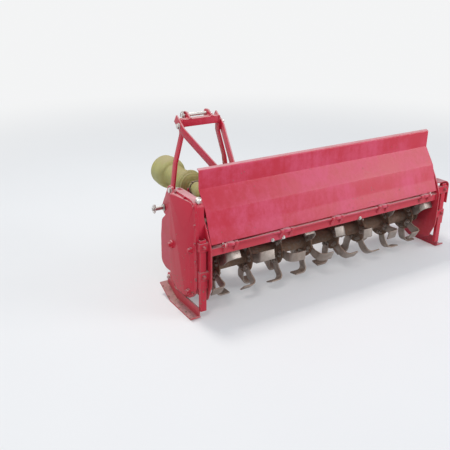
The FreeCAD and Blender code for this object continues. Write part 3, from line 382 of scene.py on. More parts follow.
def bolt_tree():
    """A hexagon head on a washer with a stub of thread, on each point, along the point's facing."""
    tree = new_tree("Bolts", [
        ("Width", "NodeSocketFloat", 0.017), ("Thread", "NodeSocketFloat", 0.0),
        ("Material", "NodeSocketMaterial", None)])
    net = Net(tree)
    given = net.add("NodeGroupInput").outputs
    width = given["Width"]
    head_h = net.math("MULTIPLY", width, 0.42)
    washer_h = net.math("MULTIPLY", width, 0.1)

    def stack(radius, height, base, sides):
        part = net.add("GeometryNodeMeshCylinder", {"fill_type": "NGON"},
                       {"Vertices": sides, "Radius": radius, "Depth": height})
        middle = net.math("ADD", base, net.math("MULTIPLY", height, 0.5))
        place = net.add("ShaderNodeCombineXYZ", inputs={2: middle})
        return net.add("GeometryNodeTransform", inputs={0: part.outputs[0], "Translation": place.outputs[0]})

    half_flats = net.math("MULTIPLY", width, 0.5 / math.cos(math.radians(30)))
    washer = stack(net.math("MULTIPLY", width, 0.72), washer_h, 0.0, 16)
    head = stack(half_flats, head_h, washer_h, 6)
    crown = stack(net.math("MULTIPLY", width, 0.46), net.math("MULTIPLY", width, 0.05),
                  net.math("ADD", washer_h, head_h), 12)
    top = net.math("ADD", net.math("ADD", washer_h, head_h), net.math("MULTIPLY", width, 0.05))
    thread = stack(net.math("MULTIPLY", width, 0.31), net.math("MAXIMUM", given["Thread"], 0.0002), top, 12)
    joined = net.add("GeometryNodeJoinGeometry")
    for part in (washer, head, crown, thread):
        tree.links.new(part.outputs[0], joined.inputs[0])
    facing = net.add("GeometryNodeInputNamedAttribute", {"data_type": "FLOAT_VECTOR"}, {"Name": "facing"})
    turn = net.add("FunctionNodeAlignRotationToVector", {"axis": "Z"}, {"Vector": facing.outputs[0]})
    spin = net.add("FunctionNodeRandomValue", {"data_type": "FLOAT"}, {2: 0.0, 3: 6.28, "Seed": 3})
    own_turn = net.add("FunctionNodeAxisAngleToRotation", inputs={"Axis": (0, 0, 1), "Angle": spin.outputs[1]})
    both = net.add("FunctionNodeRotateRotation", {"rotation_space": "LOCAL"},
                   {0: turn.outputs[0], 1: own_turn.outputs[0]})
    points = net.add("GeometryNodeMeshToPoints", inputs={0: given["Geometry"]})
    placed = net.add("GeometryNodeInstanceOnPoints", inputs={
        "Points": points.outputs[0], "Instance": joined.outputs[0], "Rotation": both.outputs[0]})
    real = net.add("GeometryNodeRealizeInstances", inputs={0: placed.outputs[0]})
    done = net.add("GeometryNodeSetMaterial", inputs={0: real.outputs[0], "Material": given["Material"]})
    net.add("NodeGroupOutput", inputs={0: done.outputs[0]})
    return tree


def bead_tree():
    """A rippled weld bead along each edge path."""
    tree = new_tree("Weld Bead", [
        ("Radius", "NodeSocketFloat", 0.003), ("Ripple", "NodeSocketFloat", 0.0042),
        ("Material", "NodeSocketMaterial", None)])
    net = Net(tree)
    given = net.add("NodeGroupInput").outputs
    path = net.add("GeometryNodeMeshToCurve", inputs={0: given["Geometry"]})
    fine = net.add("GeometryNodeResampleCurve", {"mode": "LENGTH"}, {0: path.outputs[0], "Length": 0.0016})
    along = net.add("GeometryNodeSplineParameter").outputs["Length"]
    wave = net.math("SINE", net.math("DIVIDE", net.math("MULTIPLY", along, 2 * math.pi), given["Ripple"]))
    grain = net.add("ShaderNodeTexNoise", {"noise_dimensions": "1D"}, {"W": along, "Scale": 160.0}).outputs[0]
    share = net.math("ADD", net.math("MULTIPLY", wave, 0.14), net.math("ADD", grain, 0.5))
    sized = net.add("GeometryNodeSetCurveRadius", inputs={
        0: fine.outputs[0], "Radius": net.math("MULTIPLY", share, given["Radius"])})
    ring = net.add("GeometryNodeCurvePrimitiveCircle", inputs={"Resolution": 8, "Radius": 1.0})
    tube = net.add("GeometryNodeCurveToMesh", inputs={
        0: sized.outputs[0], 1: ring.outputs[0], "Fill Caps": True})
    if "Scale" in tube.inputs:
        radius = net.add("GeometryNodeInputRadius")
        tree.links.new(radius.outputs[0], tube.inputs["Scale"])
    real = net.add("GeometryNodeRealizeInstances", inputs={0: tube.outputs[0]})
    done = net.add("GeometryNodeSetMaterial", inputs={0: real.outputs[0], "Material": given["Material"]})
    net.add("NodeGroupOutput", inputs={0: done.outputs[0]})
    return tree


def crumb_tree():
    """Lumps of dry soil scattered over the upward faces of a mesh."""
    tree = new_tree("Soil Lumps", [
        ("Density", "NodeSocketFloat", 900.0), ("Smallest", "NodeSocketFloat", 0.0012),
        ("Largest", "NodeSocketFloat", 0.006), ("Steepest", "NodeSocketFloat", 0.8),
        ("Seed", "NodeSocketInt", 7), ("Material", "NodeSocketMaterial", None)])
    net = Net(tree)
    given = net.add("NodeGroupInput").outputs
    normal = net.add("GeometryNodeInputNormal")
    upward = net.add("ShaderNodeSeparateXYZ", inputs={0: normal.outputs[0]}).outputs[2]
    flat = net.math("GREATER_THAN", upward, given["Steepest"])
    where = net.add("GeometryNodeInputPosition")
    patches = net.add("ShaderNodeTexNoise", inputs={"Vector": where.outputs[0], "Scale": 9.0}).outputs[0]
    thick = net.math("MULTIPLY", net.math("SUBTRACT", patches, 0.36, clamp=True), 6.0, clamp=True)
    density = net.math("MULTIPLY", net.math("MULTIPLY", thick, flat), given["Density"])
    points = net.add("GeometryNodeDistributePointsOnFaces", {"distribute_method": "RANDOM"},
                     {0: given["Geometry"], "Density": density, "Seed": given["Seed"]})
    lump = net.add("GeometryNodeMeshIcoSphere", inputs={"Radius": 1.0, "Subdivisions": 2})
    rough = net.add("ShaderNodeTexNoise", {"noise_dimensions": "3D"}, {"Scale": 1.7})
    push = net.add("ShaderNodeVectorMath", {"operation": "SCALE"},
                   {0: normal.outputs[0], "Scale": net.math("SUBTRACT", rough.outputs[0], 0.62)})
    shaped = net.add("GeometryNodeSetPosition", inputs={0: lump.outputs[0], "Offset": push.outputs[0]})
    share = net.add("FunctionNodeRandomValue", {"data_type": "FLOAT"}, {2: 0.0, 3: 1.0, "Seed": 11}).outputs[1]
    spread = net.math("POWER", share, 3.0)
    size = net.math("ADD", given["Smallest"], net.math(
        "MULTIPLY", net.math("SUBTRACT", given["Largest"], given["Smallest"]), spread))
    turn = net.add("FunctionNodeRandomValue", {"data_type": "FLOAT_VECTOR"},
                   {0: (0, 0, 0), 1: (6.28, 6.28, 6.28), "Seed": 5}).outputs[0]
    turned = net.add("FunctionNodeEulerToRotation", inputs={0: turn}).outputs[0]
    scale = net.add("ShaderNodeCombineXYZ", inputs={0: size, 1: size, 2: size}).outputs[0]
    placed = net.add("GeometryNodeInstanceOnPoints", inputs={
        "Points": points.outputs[0], "Instance": shaped.outputs[0], "Rotation": turned, "Scale": scale})
    real = net.add("GeometryNodeRealizeInstances", inputs={0: placed.outputs[0]})
    done = net.add("GeometryNodeSetMaterial", inputs={0: real.outputs[0], "Material": given["Material"]})
    net.add("NodeGroupOutput", inputs={0: done.outputs[0]})
    return tree


TREES = {"bolts": bolt_tree, "beads": bead_tree, "crumbs": crumb_tree}


def tree_of(name):
    """A tree that is built the first time it is needed."""
    label = "tiller_" + name
    found = bpy.data.node_groups.get(label)
    if found is None:
        found = TREES[name]()
        found.name = label
    return found


def bolts(name, places, width, body="frame", material=None, thread=0.0):
    """Bolts at (point in metres, facing)."""
    mesh = bpy.data.meshes.new(name)
    mesh.from_pydata([p for p, facing in places], [], [])
    facing = mesh.attributes.new("facing", "FLOAT_VECTOR", "POINT")
    facing.data.foreach_set("vector", [c for p, n in places for c in Vector(n).normalized()])
    material = material or finish("zinc")
    made = run_tree(tree_of("bolts"), mesh, name, {"Width": width, "Thread": thread, "Material": material})
    made.shade_flat()
    return new_piece(name, made, body)


def beads(name, paths, radius, body="frame", material=None):
    """Weld beads along open or closed paths: (points in metres, closed)."""
    mesh = bpy.data.meshes.new(name)
    verts, edges = [], []
    for points, closed in paths:
        first = len(verts)
        verts += points
        edges += [(first + i, first + i + 1) for i in range(len(points) - 1)]
        if closed:
            edges.append((len(verts) - 1, first))
    mesh.from_pydata(verts, edges, [])
    made = run_tree(tree_of("beads"), mesh, name, {
        "Radius": radius, "Material": material or finish("red_paint")})
    made.shade_smooth()
    return new_piece(name, made, body)


def circle(centre, axis, radius, count, start_deg=0.0):
    """Points in metres round a circle. The centre is in metres and the radius in millimetres."""
    place = Matrix.Translation(centre) @ frame_of(axis)
    turns = [math.radians(start_deg) + 2 * math.pi * k / count for k in range(count)]
    return [place @ (Vector((math.cos(t), math.sin(t), 0)) * radius * MM) for t in turns]


# Shader groups

def new_group(name, inputs, outputs):
    """A shader node group with its inputs and outputs, and a Net to fill it."""
    tree = bpy.data.node_groups.new(name, "ShaderNodeTree")
    for label, kind, default in inputs:
        socket = tree.interface.new_socket(label, in_out="INPUT", socket_type=kind)
        socket.default_value = default
    for label, kind in outputs:
        tree.interface.new_socket(label, in_out="OUTPUT", socket_type=kind)
    net = Net(tree)
    return tree, net, net.add("NodeGroupInput").outputs


FLOAT, COLOUR, VECTOR = "NodeSocketFloat", "NodeSocketColor", "NodeSocketVector"


def place_on_piece(net, scale=(1.0, 1.0, 1.0)):
    """Object coordinates, stretched."""
    coordinates = net.add("ShaderNodeTexCoord").outputs["Object"]
    return net.add("ShaderNodeMapping", inputs={"Vector": coordinates, "Scale": scale}).outputs[0]


def noise_at(net, vector, scale, detail=4.0, roughness=0.55):
    return net.add("ShaderNodeTexNoise", inputs={
        "Vector": vector, "Scale": scale, "Detail": detail, "Roughness": roughness}).outputs[0]


def between(net, value, low, high):
    """0 below low, 1 above high, and smooth in between."""
    return net.add("ShaderNodeMapRange", {"interpolation_type": "SMOOTHSTEP"},
                   {"Value": value, "From Min": low, "From Max": high}).outputs[0]


def blend_colour(net, share, first, second, how="MIX"):
    return net.add("ShaderNodeMix", {"data_type": "RGBA", "blend_type": how},
                   {0: share, 6: first, 7: second}).outputs[2]


def worn_edges_group():
    """Where an outer edge has been rubbed: 1 on the bare line, 0 on flat faces."""
    tree, net, given = new_group("Worn Edges", [
        ("Radius", FLOAT, 0.003), ("Amount", FLOAT, 0.5), ("Break Up", FLOAT, 60.0)], [("Mask", FLOAT)])
    own = net.add("ShaderNodeNewGeometry").outputs["Normal"]
    rounded_normal = net.add("ShaderNodeBevel", {"samples": 4}, {"Radius": given["Radius"]}).outputs[0]
    likeness = net.add("ShaderNodeVectorMath", {"operation": "DOT_PRODUCT"},
                       {0: own, 1: rounded_normal}).outputs["Value"]
    edge = net.math("MULTIPLY", net.math("SUBTRACT", 1.0, likeness), 7.0, clamp=True)
    spots = noise_at(net, place_on_piece(net), given["Break Up"])
    broad = noise_at(net, place_on_piece(net), 6.0, 2.0)
    wanted = net.math("ADD", net.math("MULTIPLY", spots, 0.6), net.math("MULTIPLY", broad, 0.6))
    level = net.math("SUBTRACT", 1.05, net.math("MULTIPLY", given["Amount"], 0.62))
    mask = net.math("MULTIPLY", edge, between(net, wanted, level, net.math("ADD", level, 0.12)))
    net.add("NodeGroupOutput", inputs={0: mask})
    return tree


def settled_dust_group():
    """Dust that lies on upward faces and clings lower down: a mask and its height."""
    tree, net, given = new_group("Settled Dust", [
        ("Amount", FLOAT, 0.5), ("Cling", FLOAT, 0.35), ("Low", FLOAT, 0.05), ("High", FLOAT, 0.6)],
        [("Mask", FLOAT), ("Height", FLOAT)])
    where = place_on_piece(net)
    up = net.add("ShaderNodeSeparateXYZ", inputs={
        0: net.add("ShaderNodeNewGeometry").outputs["Normal"]}).outputs[2]
    height = net.add("ShaderNodeSeparateXYZ", inputs={0: where}).outputs[2]
    low_down = net.math("SUBTRACT", 1.0, between(net, height, given["Low"], given["High"]))
    lying = between(net, up, 0.5, 0.95)
    clinging = net.math("MULTIPLY", low_down, given["Cling"])
    cloud = noise_at(net, where, 11.0, 6.0, 0.62)
    grain = noise_at(net, where, 420.0, 3.0, 0.7)
    wanted = net.math("ADD", net.math("MULTIPLY", lying, 0.85), clinging)
    patchy = net.math("ADD", net.math("MULTIPLY", cloud, 1.3), net.math("MULTIPLY", grain, 0.25))
    share = net.math("MULTIPLY", net.math("MULTIPLY", wanted, patchy), net.math(
        "MULTIPLY", given["Amount"], 1.6), clamp=True)
    net.add("NodeGroupOutput", inputs={0: share, 1: net.math("MULTIPLY", grain, share)})
    return tree


def spatter_group():
    """Dried splashes and clods thrown up by the rotor, thicker lower down."""
    tree, net, given = new_group("Soil Spatter", [
        ("Amount", FLOAT, 0.4), ("Scale", FLOAT, 60.0), ("High", FLOAT, 0.55)], [("Mask", FLOAT), ("Height", FLOAT)])
    where = place_on_piece(net)
    bent = net.add("ShaderNodeVectorMath", {"operation": "SCALE"}, {
        0: net.add("ShaderNodeTexNoise", inputs={"Vector": where, "Scale": 30.0}).outputs["Color"],
        "Scale": 0.02}).outputs[0]
    moved = net.add("ShaderNodeVectorMath", {"operation": "ADD"}, {0: where, 1: bent}).outputs[0]
    cells = net.add("ShaderNodeTexVoronoi", {"feature": "F1"}, {
        "Vector": moved, "Scale": given["Scale"], "Randomness": 1.0})
    chance = net.add("ShaderNodeSeparateColor", inputs={0: cells.outputs["Color"]}).outputs[0]
    height = net.add("ShaderNodeSeparateXYZ", inputs={0: where}).outputs[2]
    low_down = net.math("SUBTRACT", 1.0, between(net, height, 0.0, given["High"]))
    crowd = between(net, noise_at(net, where, 5.0, 3.0), 0.38, 0.66)
    limit = net.math("MULTIPLY", net.math("MULTIPLY", given["Amount"], net.math("ADD", low_down, 0.25)), crowd)
    kept = net.math("LESS_THAN", chance, limit)
    size = net.math("MULTIPLY", net.math("ADD", net.math("MULTIPLY", chance, 0.5), 0.16), 1.0)
    drop = net.math("SUBTRACT", 1.0, between(net, cells.outputs["Distance"], net.math(
        "MULTIPLY", size, 0.55), size))
    mask = net.math("MULTIPLY", drop, kept)
    net.add("NodeGroupOutput", inputs={0: mask, 1: mask})
    return tree


CHALK_AND_TOP_LIGHT = (0.80, 0.45, 0.50, 1.0)      # pale chalked paint, laid on upward faces: partly sun-bleached paint, partly painted sunlight on top faces


def paint_coat_group():
    """Sun-bleached paint: its colour, lighter on upward faces as partly chalking and partly painted sunlight, its
    gloss and the fine waves of its skin.
    """
    tree, net, given = new_group("Paint Coat", [
        ("Colour", COLOUR, (0.5, 0.02, 0.03, 1.0)), ("Faded", COLOUR, (0.6, 0.08, 0.1, 1.0)),
        ("Fading", FLOAT, 0.4), ("Scratches", FLOAT, 0.3)],
        [("Colour", COLOUR), ("Roughness", FLOAT), ("Height", FLOAT), ("Scratch", FLOAT)])
    where = place_on_piece(net)
    cloud = noise_at(net, where, 3.2, 5.0, 0.6)
    mottle = noise_at(net, where, 38.0, 5.0, 0.68)
    runs = noise_at(net, place_on_piece(net, (22.0, 22.0, 1.6)), 1.0, 5.0, 0.65)
    share = net.math("ADD", net.math("MULTIPLY", cloud, 0.7), net.math(
        "ADD", net.math("MULTIPLY", mottle, 0.3), net.math("MULTIPLY", runs, 0.4)))
    level = net.math("SUBTRACT", 1.02, net.math("MULTIPLY", given["Fading"], 0.65))
    bleached = between(net, share, level, net.math("ADD", level, 0.34))
    up = net.add("ShaderNodeSeparateXYZ", inputs={
        0: net.add("ShaderNodeNewGeometry").outputs["Normal"]}).outputs[2]
    # upward faces blend towards the pale chalk: partly chalked paint, partly painted sunlight
    chalk_and_top_light = net.math("MULTIPLY", between(net, up, 0.6, 0.92), net.math("ADD", 0.42, net.math(
        "MULTIPLY", mottle, 0.55)))
    colour = blend_colour(net, chalk_and_top_light, blend_colour(net, bleached, given["Colour"], given["Faded"]), CHALK_AND_TOP_LIGHT)
    thin = noise_at(net, place_on_piece(net, (1.4, 60.0, 90.0)), 3.0, 6.0, 0.75)
    cross = noise_at(net, place_on_piece(net, (50.0, 45.0, 2.6)), 2.0, 6.0, 0.75)
    where_hit = between(net, noise_at(net, where, 7.0, 2.0), 0.42, 0.7)
    lines = net.math("ADD", between(net, thin, 0.70, 0.74), between(net, cross, 0.72, 0.76), clamp=True)
    scratch = net.math("MULTIPLY", net.math("MULTIPLY", lines, where_hit), given["Scratches"], clamp=True)
    rough = net.math("ADD", 0.33, net.math("MULTIPLY", bleached, 0.22))
    peel = noise_at(net, where, 520.0, 2.0, 0.5)
    dents = noise_at(net, where, 16.0, 2.0, 0.4)
    height = net.math("ADD", net.math("MULTIPLY", peel, 0.10), net.math("MULTIPLY", dents, 0.9))
    net.add("NodeGroupOutput", inputs={0: colour, 1: rough, 2: height, 3: scratch})
    return tree


def rust_group():
    """Rust blooms on bare or chipped steel: a mask and a colour that changes over it."""
    tree, net, given = new_group("Rust Bloom", [
        ("Rust", COLOUR, (0.16, 0.055, 0.02, 1.0)), ("Amount", FLOAT, 0.4), ("Scale", FLOAT, 30.0)],
        [("Mask", FLOAT), ("Colour", COLOUR), ("Height", FLOAT)])
    where = place_on_piece(net)
    cloud = noise_at(net, where, given["Scale"], 8.0, 0.68)
    level = net.math("SUBTRACT", 0.86, net.math("MULTIPLY", given["Amount"], 0.55))
    mask = between(net, cloud, level, net.math("ADD", level, 0.1))
    speck = noise_at(net, where, 260.0, 3.0, 0.7)
    bright = blend_colour(net, between(net, speck, 0.35, 0.7), given["Rust"], (0.34, 0.13, 0.045, 1.0))
    net.add("NodeGroupOutput", inputs={0: mask, 1: bright, 2: net.math("MULTIPLY", speck, mask)})
    return tree


def brushed_group():
    """Fine marks left by soil or a cutting tool: a height and a change of roughness."""
    tree, net, given = new_group("Rubbed Metal", [
        ("Stretch", VECTOR, (4.0, 60.0, 60.0)), ("Scale", FLOAT, 12.0)], [("Height", FLOAT), ("Tone", FLOAT)])
    coordinates = net.add("ShaderNodeTexCoord").outputs["Object"]
    moved = net.add("ShaderNodeVectorMath", {"operation": "MULTIPLY"}, {0: coordinates, 1: given["Stretch"]})
    lines = noise_at(net, moved.outputs[0], given["Scale"], 6.0, 0.7)
    tone = noise_at(net, coordinates, 24.0, 5.0, 0.6)
    net.add("NodeGroupOutput", inputs={0: lines, 1: tone})
    return tree


GROUPS = {
    "worn edges": worn_edges_group, "settled dust": settled_dust_group, "soil spatter": spatter_group,
    "paint coat": paint_coat_group, "rust bloom": rust_group, "rubbed metal": brushed_group,
}


def effect(net, name, inputs):
    """Places a shader group, which is built the first time it is needed."""
    tree = bpy.data.node_groups.get("tiller " + name)
    if tree is None:
        tree = GROUPS[name]()
        tree.name = "tiller " + name
    return net.add("ShaderNodeGroup", {"node_tree": tree}, inputs).outputs


# Materials

def looks():
    return bpy.context.scene.tiller_looks


def opaque(colour):
    return (*colour, 1.0)


def new_material(name, settings):
    """A material with a Principled shader whose plain sockets are set, and a Net for its nodes."""
    material = bpy.data.materials.new(name)
    material.use_nodes = True
    net = Net(material.node_tree)
    shader = next(n for n in net.tree.nodes if n.type == "BSDF_PRINCIPLED")
    for socket, value in settings.items():
        shader.inputs[socket].default_value = value
    return material, net, shader


def join(net, shader, sockets):
    for socket, value in sockets.items():
        net.tree.links.new(value, shader.inputs[socket])


def bump(net, height, distance, strength=1.0, normal=None):
    inputs = {"Height": height, "Distance": distance, "Strength": strength}
    if normal is not None:
        inputs["Normal"] = normal
    return net.add("ShaderNodeBump", inputs=inputs).outputs[0]


def painted(name, colour, faded, fading, dust, cling, wear, spatter, scratches=0.3, rust=0.35, bare=0.0,
            shine=0.38):
    """Painted steel: bleached, scratched, chipped at its edges, dusty and splashed with soil."""
    material, net, shader = new_material(name, {
        "Coat Roughness": 0.22, "IOR": 1.45, "Specular IOR Level": shine})
    soil, rust_colour = opaque(looks().soil), opaque(looks().rust)
    coat = effect(net, "paint coat", {
        "Colour": opaque(colour), "Faded": opaque(faded), "Fading": fading, "Scratches": scratches})
    edges = effect(net, "worn edges", {"Radius": 0.0032, "Amount": wear, "Break Up": 70.0})
    rusty = effect(net, "rust bloom", {"Rust": rust_colour, "Amount": rust, "Scale": 55.0})
    chips = effect(net, "rust bloom", {"Rust": rust_colour, "Amount": bare, "Scale": 9.0})
    lying = effect(net, "settled dust", {"Amount": dust * looks().dust * 2, "Cling": cling})
    thrown = effect(net, "soil spatter", {"Amount": spatter, "Scale": 62.0})
    gone = net.math("MAXIMUM", edges["Mask"], net.math("MULTIPLY", chips["Mask"], 1.0 if bare else 0.0))
    metal = blend_colour(net, rusty["Mask"], (0.24, 0.22, 0.21, 1.0), rusty["Colour"])
    marked = blend_colour(net, coat["Scratch"], coat["Colour"], blend_colour(
        net, 0.5, coat["Colour"], (0.75, 0.45, 0.42, 1.0)))
    worn = blend_colour(net, gone, marked, metal)
    earth = blend_colour(net, noise_at(net, place_on_piece(net), 90.0), soil, tuple(0.62 * c for c in soil))
    dusty = blend_colour(net, net.math("MULTIPLY", lying["Mask"], 0.8), worn, earth)
    splashed = blend_colour(net, net.math("MULTIPLY", thrown["Mask"], 0.85), dusty, earth)
    cover = net.math("MAXIMUM", lying["Mask"], thrown["Mask"])
    rough = net.math("ADD", net.math("MULTIPLY", cover, 0.45), net.math(
        "ADD", coat["Roughness"], net.math("MULTIPLY", gone, 0.2)), clamp=True)
    clear = net.math("MULTIPLY", net.math("SUBTRACT", 1.0, net.math("MAXIMUM", cover, gone)), 0.12)
    height = net.math("ADD", net.math("MULTIPLY", coat["Height"], 0.35), net.math(
        "ADD", net.math("MULTIPLY", thrown["Height"], 1.6), net.math("MULTIPLY", lying["Height"], 0.8)))
    height = net.math("SUBTRACT", height, net.math("MULTIPLY", gone, 0.4))
    join(net, shader, {
        "Base Color": splashed, "Roughness": rough, "Coat Weight": clear,
        "Metallic": net.math("MULTIPLY", gone, 0.5), "Normal": bump(net, height, 0.0009)})
    return material


def metal(name, colour, roughness, rust, dust, cling, stretch=(1.0, 1.0, 1.0), spatter=0.15, dark=0.55):
    """Bare or plated steel with rubbed marks, rust in its hollows and dust."""
    material, net, shader = new_material(name, {"Specular IOR Level": 0.5})
    soil = opaque(looks().soil)
    rubbed = effect(net, "rubbed metal", {"Stretch": stretch, "Scale": 90.0})
    rusty = effect(net, "rust bloom", {"Rust": opaque(looks().rust), "Amount": rust, "Scale": 42.0})
    lying = effect(net, "settled dust", {"Amount": dust, "Cling": cling})
    thrown = effect(net, "soil spatter", {"Amount": spatter, "Scale": 90.0})
    tone = blend_colour(net, between(net, rubbed["Tone"], 0.3, 0.75), opaque(
        tuple(dark * c for c in colour)), opaque(colour))
    aged = blend_colour(net, rusty["Mask"], tone, rusty["Colour"])
    cover = net.math("MAXIMUM", net.math("MULTIPLY", lying["Mask"], 0.85), net.math(
        "MULTIPLY", thrown["Mask"], 0.9))
    join(net, shader, {
        "Base Color": blend_colour(net, cover, aged, soil),
        "Metallic": net.math("MULTIPLY", net.math("SUBTRACT", 1.0, cover), net.math(
            "SUBTRACT", 1.0, net.math("MULTIPLY", rusty["Mask"], 0.9))),
        "Roughness": net.math("ADD", net.math("MULTIPLY", rubbed["Height"], 0.16), net.math(
            "ADD", roughness, net.math("MULTIPLY", net.math("MAXIMUM", cover, rusty["Mask"]), 0.45)), clamp=True),
        "Normal": bump(net, net.math("ADD", net.math("MULTIPLY", rubbed["Height"], 0.25), net.math(
            "ADD", rusty["Height"], thrown["Height"])), 0.0004)})
    return material


def guard_plastic():
    """Sun-bleached moulded plastic with a waxy skin, scuffed and dusty."""
    material, net, shader = new_material("guard_plastic", {
        "Subsurface Weight": 0.04, "Subsurface Radius": (0.012, 0.01, 0.004), "IOR": 1.46})
    where = place_on_piece(net)
    colour, soil = opaque(looks().guard), opaque(looks().soil)
    pale = (0.45, 0.42, 0.17, 1.0)
    bleached = blend_colour(net, between(net, noise_at(net, where, 5.0, 4.0), 0.36, 0.66), colour, pale)
    moulded = noise_at(net, place_on_piece(net, (1.0, 14.0, 1.0)), 22.0, 3.0)
    toned = blend_colour(net, net.math("MULTIPLY", moulded, 0.45), bleached, (0.19, 0.22, 0.05, 1.0))
    edges = effect(net, "worn edges", {"Radius": 0.004, "Amount": 0.7, "Break Up": 40.0})
    scuffed = blend_colour(net, net.math("MULTIPLY", edges["Mask"], 0.4), toned, (0.50, 0.48, 0.30, 1.0))
    lying = effect(net, "settled dust", {"Amount": 0.5, "Cling": 0.3, "Low": 0.2, "High": 0.75})
    thrown = effect(net, "soil spatter", {"Amount": 0.25, "Scale": 110.0, "High": 0.9})
    cover = net.math("MAXIMUM", net.math("MULTIPLY", lying["Mask"], 0.75), net.math(
        "MULTIPLY", thrown["Mask"], 0.8))
    grain = noise_at(net, where, 300.0, 3.0)
    join(net, shader, {
        "Base Color": blend_colour(net, cover, scuffed, soil),
        "Roughness": net.math("ADD", 0.42, net.math("MULTIPLY", net.math("ADD", cover, grain), 0.25), clamp=True),
        "Normal": bump(net, net.math("ADD", grain, net.math("MULTIPLY", thrown["Height"], 2.0)), 0.0004)})
    return material


def black_plastic():
    material, net, shader = new_material("black_plastic", {"IOR": 1.48})
    where = place_on_piece(net)
    lying = effect(net, "settled dust", {"Amount": 0.8, "Cling": 0.6, "Low": 0.2, "High": 0.9})
    grain = noise_at(net, where, 380.0, 3.0)
    greyed = blend_colour(net, noise_at(net, where, 20.0), (0.016, 0.016, 0.017, 1.0), (0.05, 0.05, 0.048, 1.0))
    join(net, shader, {
        "Base Color": blend_colour(net, net.math("MULTIPLY", lying["Mask"], 0.8), greyed, opaque(looks().soil)),
        "Roughness": net.math("ADD", 0.45, net.math("MULTIPLY", grain, 0.3)),
        "Normal": bump(net, grain, 0.0003)})
    return material


def dry_soil():
    """Soil itself, in lumps and crusts."""
    material, net, shader = new_material("dry_soil", {"Specular IOR Level": 0.2})
    where = place_on_piece(net)
    soil = looks().soil
    grain = noise_at(net, where, 240.0, 8.0, 0.7)
    damp = blend_colour(net, between(net, noise_at(net, where, 14.0, 3.0), 0.4, 0.65), opaque(
        tuple(0.5 * c for c in soil)), opaque(soil))
    join(net, shader, {
        "Base Color": blend_colour(net, net.math("MULTIPLY", grain, 0.5), damp, opaque(
            tuple(min(1.0, 1.5 * c) for c in soil))),
        "Roughness": net.math("ADD", 0.78, net.math("MULTIPLY", grain, 0.2)),
        "Normal": bump(net, grain, 0.0012)})
    return material


def grease():
    material, net, shader = new_material("grease", {"IOR": 1.47})
    where = place_on_piece(net)
    smear = noise_at(net, where, 60.0, 5.0)
    join(net, shader, {
        "Base Color": blend_colour(net, smear, (0.035, 0.022, 0.012, 1.0), (0.12, 0.085, 0.05, 1.0)),
        "Roughness": net.math("ADD", 0.16, net.math("MULTIPLY", smear, 0.3)),
        "Normal": bump(net, smear, 0.0012)})
    return material


def red(name, **changes):
    """The frame's red paint with some of its values changed."""
    values = {"colour": looks().paint, "faded": looks().faded, "fading": 0.5, "dust": 0.5, "cling": 0.35,
              "wear": 0.8, "spatter": 0.42, "scratches": 0.55}
    values.update(changes)
    return painted(name, **values)


FINISHES = {
    "red_paint": lambda: red("red_paint"),
    # The board's paint fades more, so it is pinker than the frame's: partly sun-fading, partly painted sky light on
    # the board's rear face.
    "board_paint_and_sky_light": lambda: red("board_paint_and_sky_light", fading=0.68, dust=0.42, wear=0.7, spatter=0.4, scratches=0.8),
    # The case's paint fades less, so it is a darker red than the frame's: partly its own paint, partly painted shade
    # on the case and struts.
    "case_paint_and_shade": lambda: red("case_paint_and_shade", fading=0.2, dust=0.38, cling=0.2, wear=0.85, spatter=0.36,
                              scratches=0.6, shine=0.24),
    "hidden_paint": lambda: red("hidden_paint", fading=0.35, dust=0.7, cling=0.8, spatter=0.6, bare=0.35),
    "skid_paint": lambda: red("skid_paint", fading=0.6, dust=0.5, cling=0.35, wear=0.95, spatter=0.4, bare=0.35),
    "rotor_paint": lambda: red("rotor_paint", colour=(0.20, 0.03, 0.025), faded=(0.30, 0.09, 0.07), dust=0.9,
                               cling=1.3, wear=1.0, spatter=0.75, bare=0.9, rust=0.8),
    "tine_steel": lambda: metal("tine_steel", (0.44, 0.40, 0.37), 0.26, 0.34, 0.6, 0.7, (60.0, 6.0, 6.0), 0.4),
    "zinc": lambda: metal("zinc", tuple(looks().zinc), 0.26, 0.12, 0.2, 0.15, spatter=0.1, dark=0.72),
    "pin_steel": lambda: metal("pin_steel", (0.56, 0.55, 0.53), 0.2, 0.28, 0.3, 0.25, (60.0, 60.0, 4.0)),
    "yoke_steel": lambda: metal("yoke_steel", (0.20, 0.19, 0.18), 0.42, 0.42, 0.5, 0.6, spatter=0.3),
    "guard_plastic": guard_plastic, "black_plastic": black_plastic, "dry_soil": dry_soil, "grease": grease,
}


def finish(name):
    """A material that is made the first time it is asked for. The nodes' own ones keep the plain names."""
    label = "tiller_" + name
    found = bpy.data.materials.get(label)
    if found is None:
        found = FINISHES[name]()
        found.name = label
    return found


# The stage

BACKDROP = (0.90, 0.905, 0.91)
FLOOR_ENDS = (1.6, 5.5)      # metres from the middle between which the floor fades into the backdrop
FLOOR_LIFT = 0.25


def backdrop_rays(net):
    """1 for the rays that see the plain backdrop: the camera's, and those off metal and through glass."""
    rays = net.add("ShaderNodeLightPath").outputs
    seen = net.math("MAXIMUM", rays["Is Camera Ray"], rays["Is Glossy Ray"])
    return net.math("MAXIMUM", seen, rays["Is Transmission Ray"])


